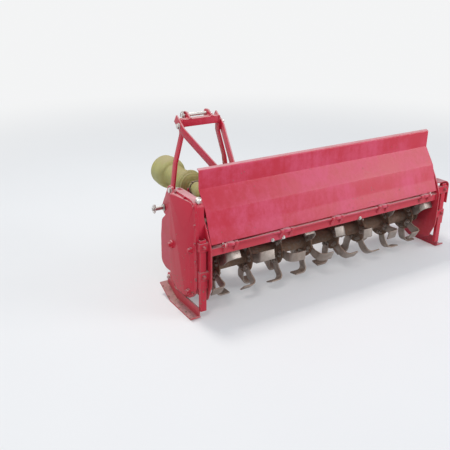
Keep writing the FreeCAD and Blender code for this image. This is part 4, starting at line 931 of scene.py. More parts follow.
def make_stage():
    settings = bpy.context.scene.tiller_stage
    floor, net, shader = new_material("floor", {"Specular IOR Level": 0.25, "Roughness": 0.75})
    where = place_on_piece(net)
    tint = blend_colour(net, noise_at(net, where, 1.4, 4.0), opaque(settings.floor), opaque(
        tuple(0.96 * c for c in settings.floor)))
    net.tree.links.new(tint, shader.inputs["Base Color"])
    seen = backdrop_rays(net)
    out = net.add("ShaderNodeVectorMath", {"operation": "LENGTH"}, {0: where}).outputs["Value"]
    far = between(net, out, FLOOR_ENDS[0], FLOOR_ENDS[1])
    share = net.math("MULTIPLY", seen, net.math("ADD", FLOOR_LIFT, net.math("MULTIPLY", far, 1.0 - FLOOR_LIFT)))
    glow = net.add("ShaderNodeEmission", inputs={0: opaque(BACKDROP), 1: 1.0})
    faded = net.add("ShaderNodeMixShader", inputs={0: share, 1: shader.outputs[0], 2: glow.outputs[0]})
    output = next(n for n in net.tree.nodes if n.type == "OUTPUT_MATERIAL")
    net.tree.links.new(faded.outputs[0], output.inputs["Surface"])
    bm = bmesh.new()
    bmesh.ops.create_grid(bm, x_segments=2, y_segments=2, size=30.0)
    ground = bpy.data.objects.new("floor", as_mesh(bm, "floor"))
    bpy.context.scene.collection.objects.link(ground)
    ground.data.materials.append(floor)

    world = bpy.data.worlds.new("studio")
    bpy.context.scene.world = world
    world.use_nodes = True
    wnet = Net(world.node_tree)
    background = next(n for n in world.node_tree.nodes if n.type == "BACKGROUND")
    wseen = backdrop_rays(wnet)
    light = blend_colour(wnet, wseen, (0.60, 0.68, 0.80, 1.0), opaque(BACKDROP))
    wnet.tree.links.new(light, background.inputs["Color"])
    wnet.tree.links.new(wnet.math("ADD", 0.62, wnet.math("MULTIPLY", wseen, 0.38)), background.inputs["Strength"])

    lamps = (      # name, place in metres from the machine's middle, size, watts, colour
        ("key", (-3.4, -2.6, 4.6), 1.6, 82.0, (1.0, 0.96, 0.94)),
        ("fill", (3.6, -3.6, 2.6), 3.0, 124.0, (0.94, 0.96, 1.0)),
        ("sun", (-1.0, 1.6, 5.0), 1.0, 140.0, (1.0, 0.98, 0.95)),
    )
    for name, place, size, watts, colour in lamps:
        lamp = bpy.data.lights.new(name, "AREA")
        lamp.shape, lamp.size, lamp.energy, lamp.color = "DISK", size, watts, colour
        holder = bpy.data.objects.new(name, lamp)
        bpy.context.scene.collection.objects.link(holder)
        holder.location = place
        holder.rotation_euler = (Vector((0, 0, 0.4)) - Vector(place)).to_track_quat("-Z", "Y").to_euler()

    camera = bpy.data.cameras.new("camera")
    camera.lens = settings.lens
    camera.sensor_width = 36.0
    camera.clip_end = 200.0
    holder = bpy.data.objects.new("camera", camera)
    bpy.context.scene.collection.objects.link(holder)
    turn = Euler((math.radians(90.0) - settings.tilt, 0.0, -settings.azimuth)).to_matrix().to_4x4()
    holder.matrix_world = Matrix.Translation(at(*CAMERA_PLACE)) @ turn @ Matrix.Rotation(settings.roll, 4, "Z")
    bpy.context.scene.camera = holder
    bpy.context.scene.view_settings.view_transform = "Standard"


# Sheet metal: deck, side plates, beams, mast and struts

PLATES = (         # nodes, finish
    (("hitch_plate_left", "hitch_plate_right"), "red_paint"),
    (("mast_leg_left", "mast_leg_right"), "red_paint"),
    (("brace_left", "brace_right"), "red_paint"),
    (("mast_cross_tube",), "red_paint"),
    (("top_link_lugs",), "red_paint"),
    (("brace_post",), "red_paint"),
    (("tailgate_stops",), "red_paint"),
    (("shaft_rest",), "red_paint"),
    (("strut_clamps", "skid_strut_left", "skid_strut_right"), "case_paint_and_shade"),
    (("skid_left", "skid_right"), "skid_paint"),
    (("skid_mounts",), "skid_paint"),
)
BEAM_CORNER = 0.005
# Side plate's outline (y, z, corner radius), from its rear foot up over the top and down the front
SIDE_OUTLINE = (
    (-136, 78, 40), (-181, 182, 60), (-181, 372, 34), (-166, 412, 40), (-128, 482, 60), (-62, 590, 50),
    (10, 607, 60), (150, 607, 90), (290, 470, 60), (306, 400, 30), (352, 362, 40), (370, 262, 80),
    (374, 100, 60), (320, 78, 40))
SHAFT_HOLE_R = 36.0


def make_plates():
    edge = bpy.context.scene.tiller_sizes.edge
    for nodes, paint in PLATES:
        for node in nodes:
            soften(node, edge, "frame", finish(paint), 2)
    soften("deck", edge, "frame", finish("hidden_paint"), 2)
    for beam in ("front_beam", "rear_beam"):
        soften(beam, BEAM_CORNER, "frame", finish("red_paint"), 3)
    soften("hinge_brackets", 0.8 * edge, "frame", finish("red_paint"), 1)
    soften("tailgate_leaves", 0.8 * edge, "tailgate", finish("board_paint_and_sky_light"), 1)
    soften("tailgate_ribs", edge, "tailgate", finish("board_paint_and_sky_light"), 1)


def make_side_plates():
    """Side plates with a full rear edge and a round hole for the rotor's shaft."""
    edge = bpy.context.scene.tiller_sizes.edge
    points = rounded(SIDE_OUTLINE, 6.0)
    for node in ("side_plate_left", "side_plate_right"):
        low, high = node_box(node)
        bm = bmesh.new()
        rings = [[bm.verts.new(at(x, p.x, p.y)) for p in points] for x in (low.x, high.x)]
        for ring in rings:
            bm.faces.new(ring)
        for k, first in enumerate(rings[0]):
            bm.faces.new((first, rings[0][k - 1], rings[1][k - 1], rings[1][k]))
        bmesh.ops.recalc_face_normals(bm, faces=bm.faces)
        hole = bmesh.new()
        add_rod(hole, at(low.x - 5, 0, ROTOR_Z), at(high.x + 5, 0, ROTOR_Z), SHAFT_HOLE_R * MM, 64)
        cutter = bpy.data.meshes.new(node + "_hole")
        hole.to_mesh(cutter)
        hole.free()
        mesh = bevelled(bm, node + "_finished", edge, 2, cutters=cutter)
        new_piece(node + "_finished", mesh, "frame", finish("red_paint"), [node])


# The rear board

BOARD_BACK = ((-163.0, 397.0), (-137.0, 462.0), (-110.0, 548.0), (-43.0, 645.0), (-43.0, 740.0), (-26.5, 749.0))
BOARD_T = 4.0
BOARD_BEND = 11.0
BOARD_COLUMNS = 190
BOARD_WAVE = 1.7


def board_line():
    """The board's rear face from its foot to its lip: points with their normals, closely spaced."""
    rounds = [(BOARD_BACK[0][0], BOARD_BACK[0][1], 0.0)]
    rounds += [(y, z, BOARD_BEND) for y, z in BOARD_BACK[1:-1]] + [(BOARD_BACK[-1][0], BOARD_BACK[-1][1], 0.0)]
    corners = rounded(rounds + [(400.0, 1000.0, 0.0), (400.0, 300.0, 0.0)], 5.0)
    corners = corners[:-2] if corners[-1].x > 300 else [p for p in corners if p.x < 300]
    line = [corners[0]]
    for point in corners[1:]:
        steps = max(1, round((point - line[-1]).length / 12.0))
        start = line[-1]
        line += [start.lerp(point, k / steps) for k in range(1, steps + 1)]
    return line


def board_wave(x, share, z):
    """How far the sheet has been knocked out of flat, in millimetres, least at its foot and its lip."""
    broad = noise.noise(Vector((x / 260.0, z / 120.0, 3.1)))
    dent = noise.noise(Vector((x / 74.0, z / 60.0, 9.4)))
    return BOARD_WAVE * (0.65 * broad + 0.35 * max(0.0, dent - 0.15)) * math.sin(math.pi * min(1.0, share * 1.02))


def make_board():
    """The folded sheet, with rolled bends, small dents and cut edges."""
    low, high = node_box("tailgate_panel")
    line = board_line()
    count = len(line)
    normals = []
    for i, point in enumerate(line):
        along = (line[min(i + 1, count - 1)] - line[max(i - 1, 0)]).normalized()
        normals.append(Vector((along.y, -along.x)))
    bm = bmesh.new()
    grids = []
    for depth in (0.0, BOARD_T):
        grid = []
        for c in range(BOARD_COLUMNS + 1):
            x = low.x + (high.x - low.x) * c / BOARD_COLUMNS
            column = []
            for i, (point, normal) in enumerate(zip(line, normals)):
                wave = board_wave(x, i / (count - 1), point.y)
                place = point + normal * (depth + 0.5 * BOARD_WAVE + wave * 0.5)
                column.append(bm.verts.new(at(x, max(low.y, place.x), min(high.z, place.y))))
            grid.append(column)
        grids.append(grid)
    back, front = grids
    last = BOARD_COLUMNS
    for c in range(last):
        for i in range(count - 1):
            bm.faces.new((back[c][i], back[c + 1][i], back[c + 1][i + 1], back[c][i + 1]))
            bm.faces.new((front[c][i], front[c][i + 1], front[c + 1][i + 1], front[c + 1][i]))
        bm.faces.new((back[c][0], front[c][0], front[c + 1][0], back[c + 1][0]))
        bm.faces.new((back[c][-1], back[c + 1][-1], front[c + 1][-1], front[c][-1]))
    for i in range(count - 1):
        bm.faces.new((back[0][i], back[0][i + 1], front[0][i + 1], front[0][i]))
        bm.faces.new((back[last][i], front[last][i], front[last][i + 1], back[last][i + 1]))
    bmesh.ops.recalc_face_normals(bm, faces=bm.faces)
    mesh = bevelled(bm, "rear_board", 0.0009, 2, 60.0)
    new_piece("rear_board", mesh, "tailgate", finish("board_paint_and_sky_light"), ["tailgate_panel"])


# Castings: gearbox, side case and bearings

CASE_TOP_Z = 620.0
CASE_TOP_HALF = 124.0
CASE_LOW_R = 134.0
CASE_CORNER_R = 48.0
COVER_FACE_X = node_box("side_case_cover")[0].x
COVER_RIM_X = COVER_FACE_X + 32.0
COVER_BOLT_INSET = 7.0
COVER_BOLT_PITCH = 92.0
BREATHER_FOOT = (-223.0, -100.0, 606.0)


def case_line(inset, step_deg=6.0):
    """Points round the case's outline, set in from its edge."""
    low, top = CASE_LOW_R - inset, CASE_TOP_HALF - inset
    corner = max(CASE_CORNER_R - inset, 4.0)
    side = 0.42 * low
    return rounded([
        (-low, ROTOR_Z - side, low * 0.7), (-low, ROTOR_Z + side, low), (-top, CASE_TOP_Z - inset, corner),
        (top, CASE_TOP_Z - inset, corner), (low, ROTOR_Z + side, low), (low, ROTOR_Z - side, low * 0.7),
        (side, ROTOR_Z - low, low * 0.7), (-side, ROTOR_Z - low, low * 0.7)], step_deg)


def spaced(points, pitch):
    """Evenly spaced points round a closed line."""
    lengths = [(b - a).length for a, b in zip(points, points[1:] + points[:1])]
    total = sum(lengths)
    count = round(total / pitch)
    found, walked, i = [], 0.0, 0
    for k in range(count):
        wanted = total * k / count
        while walked + lengths[i] < wanted:
            walked += lengths[i]
            i += 1
        a, b = points[i], points[(i + 1) % len(points)]
        found.append(a.lerp(b, (wanted - walked) / lengths[i]))
    return found


def make_castings():
    sizes = bpy.context.scene.tiller_sizes
    for node in ("gearbox", "side_case", "side_case_cover", "rotor_bearing", "drive_tube", "gearbox_cover"):
        width = sizes.cast_edge if node in ("gearbox", "side_case_cover") else 0.5 * sizes.cast_edge
        paint = "case_paint_and_shade" if "case" in node else "red_paint"
        soften(node, width, "frame", finish(paint), 3)


# Fastenings

GEARBOX_HALF_X = 72.0
FOOT_TOP_Z = 459.0
CLAMP_REAR_Y = -161.0


def ring_places(centre, axis, radius, count, start_deg=0.0):
    """Bolt places round a circle, all facing along the axis."""
    return [(p, axis) for p in circle(centre, axis, radius, count, start_deg)]


def make_case_bolts():
    left, rim = (-1, 0, 0), COVER_RIM_X
    places = [(at(rim, p.x, p.y), left) for p in spaced(case_line(COVER_BOLT_INSET), COVER_BOLT_PITCH)]
    paint = finish("case_paint_and_shade")
    bolts("case_cover_bolts", places, bpy.context.scene.tiller_sizes.small_bolt, material=paint)
    plugs = [(at(COVER_FACE_X, 84, 330), left), (at(COVER_FACE_X + 20, -90, 362), left),
             (at(COVER_FACE_X + 14, -76, 132), left)]
    bolts("case_plugs", plugs, bpy.context.scene.tiller_sizes.large_bolt * 0.9, material=paint)
    bm = bmesh.new()
    base, lean = at(*BREATHER_FOOT), Vector((0.0, -0.5, 0.87))
    add_rod(bm, base, base + lean * 0.010, 0.013, 6)
    add_rod(bm, base + lean * 0.009, base + lean * 0.025, 0.0158, 32, 0.014)
    add_rod(bm, base + lean * 0.0245, base + lean * 0.028, 0.012, 32, 0.007)
    new_piece("case_breather", bevelled(bm, "case_breather", 0.0009, 2), "frame", finish("zinc"))


def make_housing_bolts():
    sizes = bpy.context.scene.tiller_sizes
    right, forward, up, left = (1, 0, 0), (0, 1, 0), (0, 0, 1), (-1, 0, 0)
    places = ring_places(at(RIGHT_OUT + 12.5, 0, ROTOR_Z), right, 54, 4, 45)
    places += ring_places(at(LEFT_IN + 12, 0, DRIVE_Z), right, 50, 6, 30)
    places += ring_places(at(GEARBOX_HALF_X + 10, 0, DRIVE_Z), right, 36, 6)
    places += [(at(x, y, FOOT_TOP_Z), up) for x in (-83, 83) for y in (-42, 26, 92)]
    bolts("housing_bolts", places, sizes.bolt * 0.86)
    seal = ring_places(at(0, node_box("gearbox_cover")[0].y + 10, DRIVE_Z), forward, 39, 6, 30)
    bolts("seal_cover_bolts", seal, sizes.small_bolt * 0.8)
    plugs = [(at(60, -20, 592), up), (at(26, -60, 540), (0, -1, 0)), (at(26, -56, 474), (0, -1, 0))]
    bolts("gearbox_plugs", plugs, sizes.bolt)
    through = ring_places(at(LEFT_IN, 0, ROTOR_Z), right, 60, 4, 45)
    bolts("case_inner_bolts", through, sizes.bolt * 0.8)


def make_hitch_bolts():
    """Bolts of the mast, braces, skids and clamps. Those with thread stand through their nuts."""
    sizes = bpy.context.scene.tiller_sizes
    large, half = sizes.large_bolt, 46.0 + 8.0
    plate = node_box("hitch_plate_right")
    outer, inner = plate[1].x, node_box("mast_leg_right")[0].x
    brace_out = node_box("brace_right")[1].x
    heads, nuts = [], []
    for side in (-1, 1):
        heads.append((at(side * outer, 270, 548), (side, 0, 0)))
        nuts.append((at(side * (outer - 20), 270, 548), (-side, 0, 0)))
    heads += [(at(half, 0, 700), (1, 0, 0)), (at(-brace_out, 272, 884), (-1, 0, 0))]
    nuts += [(at(-half, 0, 700), (-1, 0, 0)), (at(brace_out, 272, 884), (1, 0, 0))]
    bolts("mast_bolts", heads, large)
    bolts("mast_nuts", nuts, large, thread=0.014)
    skid = [(at(node_box("skid_left")[1].x - 8, 170, 102), (-1, 0, 0)),
            (at(node_box("skid_right")[0].x + 8, 170, 102), (1, 0, 0))]
    bolts("skid_bolts", skid, sizes.bolt, thread=0.006)
    clamp = []
    for node in ("skid_strut_left", "skid_strut_right"):
        low, high = node_box(node)
        clamp += [(at((low.x + high.x) / 2, CLAMP_REAR_Y, z), (0, -1, 0)) for z in (236, 392)]
    bolts("clamp_bolts", clamp, sizes.bolt, material=finish("case_paint_and_shade"), thread=0.004)
    beam = [(at(x, node_box("rear_beam")[0].y, 345), (0, -1, 0)) for x in (179, 248, 777)]
    bolts("beam_bolts", beam, sizes.bolt * 0.8)
    rest = [(at(x, 262, node_box("shaft_rest")[0].z + 8), (0, 0, 1)) for x in (-14, 14)]
    bolts("rest_bolts", rest, sizes.bolt * 0.8)


def flange_faces():
    """Left face of each tine flange."""
    pitch = (RIGHT_IN - LEFT_IN) / FLANGE_COUNT
    return [LEFT_IN + (i + 0.5) * pitch - FLANGE_T / 2 for i in range(FLANGE_COUNT)]


TINE_T = 8.0
TINE_BOLT_R = 70.0
TINE_BOLT_TURN = 9.0


def make_tine_bolts():
    """Two bolts through each tine's root and its flange."""
    heads, nuts = [], []
    step = 360.0 / TINES_PER_SIDE
    for hand in (-1, 1):
        for i, x in enumerate(flange_faces()):
            face = x if hand < 0 else x + FLANGE_T
            back = x + FLANGE_T if hand < 0 else x
            for j in range(TINES_PER_SIDE):
                turn = i * FLANGE_STEP_DEG + j * step + (0 if hand < 0 else step / 2)
                for side in (-1, 1):
                    a = math.radians(turn + side * TINE_BOLT_TURN)
                    y, z = -math.sin(a) * TINE_BOLT_R, math.cos(a) * TINE_BOLT_R + ROTOR_Z
                    heads.append((at(face + hand * TINE_T, y, z), (hand, 0, 0)))
                    nuts.append((at(back, y, z), (-hand, 0, 0)))
    width = bpy.context.scene.tiller_sizes.bolt
    steel = finish("tine_steel")
    bolts("tine_bolts", heads, width, "rotor", steel)
    bolts("tine_nuts", nuts, width * 0.9, "rotor", steel, thread=0.004)


# Welds

def line(*points):
    return [at(*p) for p in points], False


def loop(points):
    return points, True


def frame_welds():
    paths = []
    leg_in = 103.0
    tube_low, tube_high = node_box("mast_cross_tube")
    for side in (-1, 1):
        x = side * leg_in
        paths.append(loop([at(x, y, z) for y, z in (
            (tube_low.y, tube_low.z), (tube_high.y, tube_low.z), (tube_high.y, tube_high.z),
            (tube_low.y, tube_high.z))]))
        plate_x = side * node_box("hitch_plate_right")[0].x
        for x in (plate_x, plate_x + side * 10):
            paths.append(line((x, 244, 432), (x, 299, 432)))
            paths.append(line((x, 300, 376), (x, 300, 430)))
        for x in (side * 59, side * 69):
            paths.append(line((x, tube_low.y, tube_high.z), (x, tube_high.y, tube_high.z)))
            paths.append(line((x, tube_high.y, tube_high.z), (x, tube_high.y, tube_low.z)))
    return paths


def skid_welds():
    paths = []
    mounts = (node_box("skid_left")[1].x, RIGHT_OUT)
    inner = (LEFT_OUT, node_box("skid_right")[0].x)
    for x in mounts + inner:
        paths.append(loop(circle(at(x, 170, 102), (1, 0, 0), 16, 24)))
    for node, edge in (("skid_left", -8.0), ("skid_right", 8.0)):
        low, high = node_box(node)
        x = high.x + edge if edge < 0 else low.x + edge
        paths.append(line((x, -136, 8), (x, 78, 8)))
        paths.append(line((x, 138, 30), (x, 188, 54)))
    for node in ("skid_strut_left", "skid_strut_right"):
        low, high = node_box(node)
        x = low.x if node.endswith("left") else high.x
        paths.append(line((x, high.y, low.z + 1), (x, high.y, 60)))
    return paths


def beam_welds():
    """Side plates to the beams, hinge brackets to the rear beam."""
    paths = []
    for node in ("front_beam", "rear_beam"):
        low, high = node_box(node)
        for x in (low.x, high.x):
            paths.append(line((x, low.y, low.z), (x, low.y, high.z), (x, high.y, high.z)))
            paths.append(line((x, low.y, low.z), (x, high.y, low.z), (x, high.y, high.z)))
    low, high = node_box("rear_beam")
    first, last, count = LEFT_IN + 110, RIGHT_IN - 110, 5
    for k in range(count):
        x = first + (last - first) * k / (count - 1)
        for x0 in (x - 42, x + 22):
            for edge in (x0, x0 + 20):
                paths.append(line((edge, low.y, low.z + 13), (edge, low.y, high.z - 2)))
    return paths


def rotor_welds():
    paths = []
    for x in flange_faces():
        for face in (x, x + FLANGE_T):
            paths.append(loop(circle(at(face, 0, ROTOR_Z), (1, 0, 0), ROTOR_TUBE_R + 1, 36)))
    low, high = node_box("rotor_tube")
    for x in (LEFT_IN + 26, RIGHT_IN - 26):
        paths.append(loop(circle(at(x, 0, ROTOR_Z), (1, 0, 0), ROTOR_TUBE_R + 1, 36)))
    return paths


def make_welds():
    bead = bpy.context.scene.tiller_sizes.bead
    beads("frame_welds", frame_welds(), bead)
    beads("skid_welds", skid_welds(), bead, material=finish("skid_paint"))
    beads("beam_welds", beam_welds(), 0.9 * bead)
    beads("rotor_welds", rotor_welds(), 1.2 * bead, "rotor", finish("rotor_paint"))


# Rotor

def make_rotor():
    edge = bpy.context.scene.tiller_sizes.edge
    soften("rotor_tube", edge, "rotor", finish("rotor_paint"), 2)
    soften("rotor_flanges", edge, "rotor", finish("rotor_paint"), 2)
    for node in ("tines_left", "tines_right"):
        soften(node, 1.6 * edge, "rotor", finish("tine_steel"), 2)


# Driveline and its guard

def wavy(radius_at, start, end, wall, step, ridge, pitch):
    """A thin shell's profile between two places along its line, with ridges: (radius, distance)."""
    count = max(2, round(abs(end - start) / step))
    outer, inner = [], []
    for k in range(count + 1):
        s = start + (end - start) * k / count
        r = radius_at(k / count)
        swell = ridge * max(0.0, math.cos(2 * math.pi * (s - start) / pitch)) ** 2
        outer.append((r + wall + swell, s))
        inner.append((r + 0.7 * swell, s))
    return outer + inner[::-1]


def bell(share, neck, mouth):
    """A bell's radius from its neck to its mouth."""
    return neck + (mouth - neck) * math.sin(0.5 * math.pi * min(1.0, share * 1.04)) ** 0.9


GUARD_WALL = 3.0
# Outer radii (y, radius) of the guard's front parts: a folded boot round the tube, and the front bell
BOOT_LINE = ((350, 35), (352, 50), (358, 62), (370, 72), (388, 78), (402, 78), (416, 73), (430, 66), (448, 61.5),
             (480, 59.5), (520, 59), (565, 60), (592, 61))
BELL_LINE = ((586, 59), (591, 64), (597, 76), (609, 87), (628, 92), (655, 92.5), (688, 90.5), (707, 87))
FOLD_PITCH = 18.5


def smooth_line(points, step):
    """A smooth line through (place, radius) points, closely spaced."""
    points = [Vector(p) for p in points]
    ends = [2 * points[0] - points[1]] + points + [2 * points[-1] - points[-2]]
    found = []
    for a, b, c, d in zip(ends, ends[1:], ends[2:], ends[3:]):
        count = max(1, round((c - b).length / step))
        for k in range(count):
            t = k / count
            found.append(0.5 * (2 * b + (c - a) * t + (2 * a - 5 * b + 4 * c - d) * t * t
                                + (3 * b - 3 * c + d - a) * t * t * t))
    return found + [points[-1]]


def shell(points, fold=0.0, from_y=0.0, to_y=0.0):
    """A thin turned shell under a smooth line, with soft folds between two places."""
    outer = []
    for y, r in smooth_line(points, 3.0):
        if from_y < y < to_y:
            r += fold * math.cos(2 * math.pi * (y - from_y) / FOLD_PITCH)
        outer.append((r, y))
    return outer + [(r - GUARD_WALL, y) for r, y in reversed(outer)]


def lip_ring(radius, y):
    """A rolled lip."""
    turns = (2 * math.pi * k / 10 for k in range(10))
    return [(radius + 2.6 * math.cos(a), y + 2.6 * math.sin(a)) for a in turns]


def make_guard():
    """The plastic guard: tube, rear bell, folded neck with its skirt, front bell and a bearing ring."""
    tube_low, tube_high = node_box("guard_tube")
    rear_low, rear_high = node_box("guard_cone_rear")
    neck, mouth = tube_high.z - DRIVE_Z, rear_high.z - DRIVE_Z
    origin, forward = at(0, 0, DRIVE_Z), (0, 1, 0)
    sleeve = wavy(lambda s: neck - GUARD_WALL - 0.6, tube_low.y, tube_high.y, GUARD_WALL, 3.0, 0.6, 26.0)
    rear = wavy(lambda s: bell(s, neck, mouth - GUARD_WALL - 2.0), tube_low.y, rear_low.y + 2, GUARD_WALL, 3.0,
                1.1, 24.0)
    grip = wavy(lambda s: neck + 0.1, rear_high.y, tube_low.y - 2, GUARD_WALL, 3.0, 0.4, 9.0)
    parts = {
        "guard_tube": [sleeve, shell(BOOT_LINE, 2.4, 364, 586)],
        "guard_cone_rear": [rear, grip, lip_ring(mouth - GUARD_WALL + 0.4, rear_low.y + 2.6)],
        "guard_cone_front": [shell(BELL_LINE), lip_ring(86, 708)],
    }
    for node, profiles in parts.items():
        bm = bmesh.new()
        for profile in profiles:
            add_turned(bm, profile, origin, forward)
        bmesh.ops.recalc_face_normals(bm, faces=bm.faces)
        mesh = as_mesh(bm, node + "_finished")
        new_piece(node + "_finished", mesh, "frame", finish("guard_plastic"), [node])
    bm = bmesh.new()
    inner, outer, y = neck + GUARD_WALL, neck + GUARD_WALL + 4.5, rear_high.y - 6.0
    add_turned(bm, [(inner, y - 5), (outer, y - 4), (outer, y + 4), (inner, y + 5)], origin, forward, 64)
    for k in range(3):
        a = 2 * math.pi * k / 3
        point = at(math.cos(a) * (outer + 1), y, DRIVE_Z + math.sin(a) * (outer + 1))
        add_rod(bm, point - Vector((0, 0.006, 0)), point + Vector((0, 0.006, 0)), 0.0042, 10)
    bmesh.ops.recalc_face_normals(bm, faces=bm.faces)
    new_piece("guard_collar", as_mesh(bm, "guard_collar"), "frame", finish("black_plastic"))


def make_driveline():
    """Forks, crosses with their cups and grease nipples, the splined bore and its catch."""
    edge = bpy.context.scene.tiller_sizes.edge
    for node in ("input_shaft", "rear_fork", "middle_shaft", "front_fork"):
        soften(node, 1.5 * edge, "driveline", finish("yoke_steel"), 2)
    soften("joint_crosses", 0.5 * edge, "driveline", finish("grease"), 1)
    bm = bmesh.new()
    for y in (JOINT_REAR_Y, JOINT_FRONT_Y):
        for axis in (Vector((1, 0, 0)), Vector((0, 0, 1))):
            for side in (-1, 1):
                middle = at(0, y, DRIVE_Z)
                a = middle + axis * side * 29.0 * MM
                add_rod(bm, a, middle + axis * side * 32.2 * MM, 10.5 * MM, 24)
                add_rod(bm, middle + axis * side * 31.8 * MM, middle + axis * side * 33.0 * MM, 7.0 * MM, 20)
        nipple = at(0, y, DRIVE_Z) + Vector((0.011, 0.0, 0.011))
        tip = nipple + Vector((0.006, 0, 0.006))
        add_rod(bm, nipple - Vector((0.004, 0, 0.004)), tip, 0.003, 10, 0.0022)
    new_piece("cross_cups", bevelled(bm, "cross_cups", 0.0005, 2), "driveline", finish("pin_steel"))

    low, high = node_box("front_fork")
    bore, teeth = 17.5, 6
    bm = bmesh.new()
    for k in range(teeth):
        turn = Matrix.Rotation(2 * math.pi * k / teeth, 4, "Y")
        place = Matrix.Translation(at(0, (low.y + high.y) / 2 + 20, DRIVE_Z)) @ turn
        block = place @ Matrix.Translation((0, 0, (bore - 1.6) * MM)) @ Matrix.Diagonal((0.0082, 0.074, 0.0042, 1))
        bmesh.ops.create_cube(bm, size=1.0, matrix=block)
    new_piece("fork_splines", bevelled(bm, "fork_splines", 0.0005, 1), "driveline", finish("grease"))
    bm = bmesh.new()
    catch = at(0, high.y - 24, DRIVE_Z + 24)
    add_rod(bm, catch, catch + Vector((0, 0, 0.012)), 0.007, 20)
    add_rod(bm, catch + Vector((0, 0, 0.011)), catch + Vector((0, 0, 0.015)), 0.0045, 20)
    add_turned(bm, [(27.2, 0), (29.5, 1.5), (29.5, 7.5), (27.2, 9)], at(0, high.y - 12, DRIVE_Z), (0, 1, 0), 48)
    bmesh.ops.recalc_face_normals(bm, faces=bm.faces)
    new_piece("fork_catch", bevelled(bm, "fork_catch", 0.0006, 2), "driveline", finish("zinc"))


# Pins

def ring_points(centre, u, v, radius, turns, count):
    """Points in metres along part of a circle in the plane of u and v."""
    u, v = Vector(u), Vector(v)
    return [Vector(centre) + (u * math.cos(a) + v * math.sin(a)) * radius
            for a in (math.radians(turns[0] + (turns[1] - turns[0]) * k / count) for k in range(count + 1))]


def add_linch_pin(bm, middle, side):
    """A linch pin through a hitch pin: a plug with a head and a sprung wire ring folded over it."""
    middle = Vector(middle)
    add_rod(bm, middle - Vector((0, 0, 0.022)), middle + Vector((0, 0, 0.018)), 0.0045, 16)
    add_rod(bm, middle + Vector((0, 0, 0.014)), middle + Vector((0, 0, 0.024)), 0.0072, 16)
    points = ring_points(middle + Vector((side * 0.004, 0, -0.002)), (0, 1, 0), (0, 0, -1), 0.021, (-70, 250), 30)
    add_tube(bm, points, 0.0019, 8)


def make_pins():
    soften("hitch_pins", 0.0016, "frame", finish("pin_steel"), 2)
    soften("top_link_pin", 0.0014, "frame", finish("zinc"), 2)
    soften("hinge_rod", 0.0014, "frame", finish("skid_paint"), 2)
    pins_low, pins_high = node_box("hitch_pins")
    pin_y, pin_z = (pins_low.y + pins_high.y) / 2, (pins_low.z + pins_high.z) / 2
    bm = bmesh.new()
    for side in (-1, 1):
        add_linch_pin(bm, at(side * (pins_high.x - 12.0), pin_y, pin_z), side)
    top_low, top_high = node_box("top_link_pin")
    top_y, top_z = (top_low.y + top_high.y) / 2, (top_low.z + top_high.z) / 2
    add_linch_pin(bm, at(top_low.x + 8.0, top_y, top_z - 2), -1)
    handle = [at(top_high.x - 2, top_y, top_z)] + ring_points(
        at(top_high.x + 6, top_y, top_z - 14), (0, 0, 1), (1, 0, 0), 0.014, (0, 100), 10)
    handle.append(handle[-1] + Vector((0.0, 0, -0.034)))
    add_tube(bm, handle, 0.0042, 12)
    new_piece("linch_pins", as_mesh(bm, "linch_pins"), "frame", finish("zinc"))
    rod_low, rod_high = node_box("hinge_rod")
    rod_y, rod_z = (rod_low.y + rod_high.y) / 2, (rod_low.z + rod_high.z) / 2
    bm = bmesh.new()
    for x, side in ((rod_low.x + 7, -1), (rod_high.x - 7, 1)):
        add_rod(bm, at(x, rod_y, rod_z - 10), at(x, rod_y, rod_z + 10), 0.0016, 8)
        add_tube(bm, ring_points(at(x, rod_y, rod_z + 12), (1, 0, 0), (0, 0, 1), 0.003, (0, 330), 12), 0.0012, 6)
        add_turned(bm, [(6.2, 0), (11.5, 0), (11.5, 2), (6.2, 2)], at(x - side * 7, rod_y, rod_z), (1, 0, 0), 28)
    bmesh.ops.recalc_face_normals(bm, faces=bm.faces)
    new_piece("hinge_cotters", as_mesh(bm, "hinge_cotters"), "frame", finish("zinc"))


# Soil

SOIL = (           # piece, node it lies on, density, largest lump, steepest face
    ("soil_on_deck", "deck", 5200.0, 0.0075, 0.72),
    ("soil_on_front_beam", "front_beam", 3600.0, 0.005, 0.9),
    ("soil_on_gearbox", "gearbox", 2600.0, 0.004, 0.9),
    ("soil_on_skid_left", "skid_left", 5200.0, 0.005, 0.7),
    ("soil_on_skid_right", "skid_right", 5200.0, 0.005, 0.7),
)


def make_soil():
    seed = bpy.context.scene.tiller_looks.crumbs
    for i, (name, node, density, largest, steepest) in enumerate(SOIL):
        bm = solid_copy(node)
        mesh = bpy.data.meshes.new(name)
        bm.to_mesh(mesh)
        bm.free()
        made = run_tree(tree_of("crumbs"), mesh, name, {
            "Density": density, "Largest": largest, "Steepest": steepest, "Seed": seed + i,
            "Material": finish("dry_soil")})
        made.shade_smooth()
        new_piece(name, made, "frame")


# Operators

class BuildStage(bpy.types.Operator):
    """Set up the floor, the light and the camera"""
    bl_idname = "tiller.stage"
    bl_label = "Floor, Light and Camera"

    def execute(self, context):
        make_stage()
        return {"FINISHED"}


class BuildPlates(bpy.types.Operator):
    """Finish the deck, side plates, beams, mast, braces and skids"""
    bl_idname = "tiller.plates"
    bl_label = "Plates and Skids"

    def execute(self, context):
        make_plates()
        make_side_plates()
        return {"FINISHED"}


class BuildBoard(bpy.types.Operator):
    """Make the folded rear board"""
    bl_idname = "tiller.board"
    bl_label = "Rear Board"

    def execute(self, context):
        make_board()
        return {"FINISHED"}


class BuildCastings(bpy.types.Operator):
    """Finish the gearbox, the side case and the bearings"""
    bl_idname = "tiller.castings"
    bl_label = "Castings"

    def execute(self, context):
        make_castings()
        return {"FINISHED"}


class BuildRotor(bpy.types.Operator):
    """Finish the rotor and its tines"""
    bl_idname = "tiller.rotor"
    bl_label = "Rotor and Tines"

    def execute(self, context):
        make_rotor()
        make_tine_bolts()
        return {"FINISHED"}


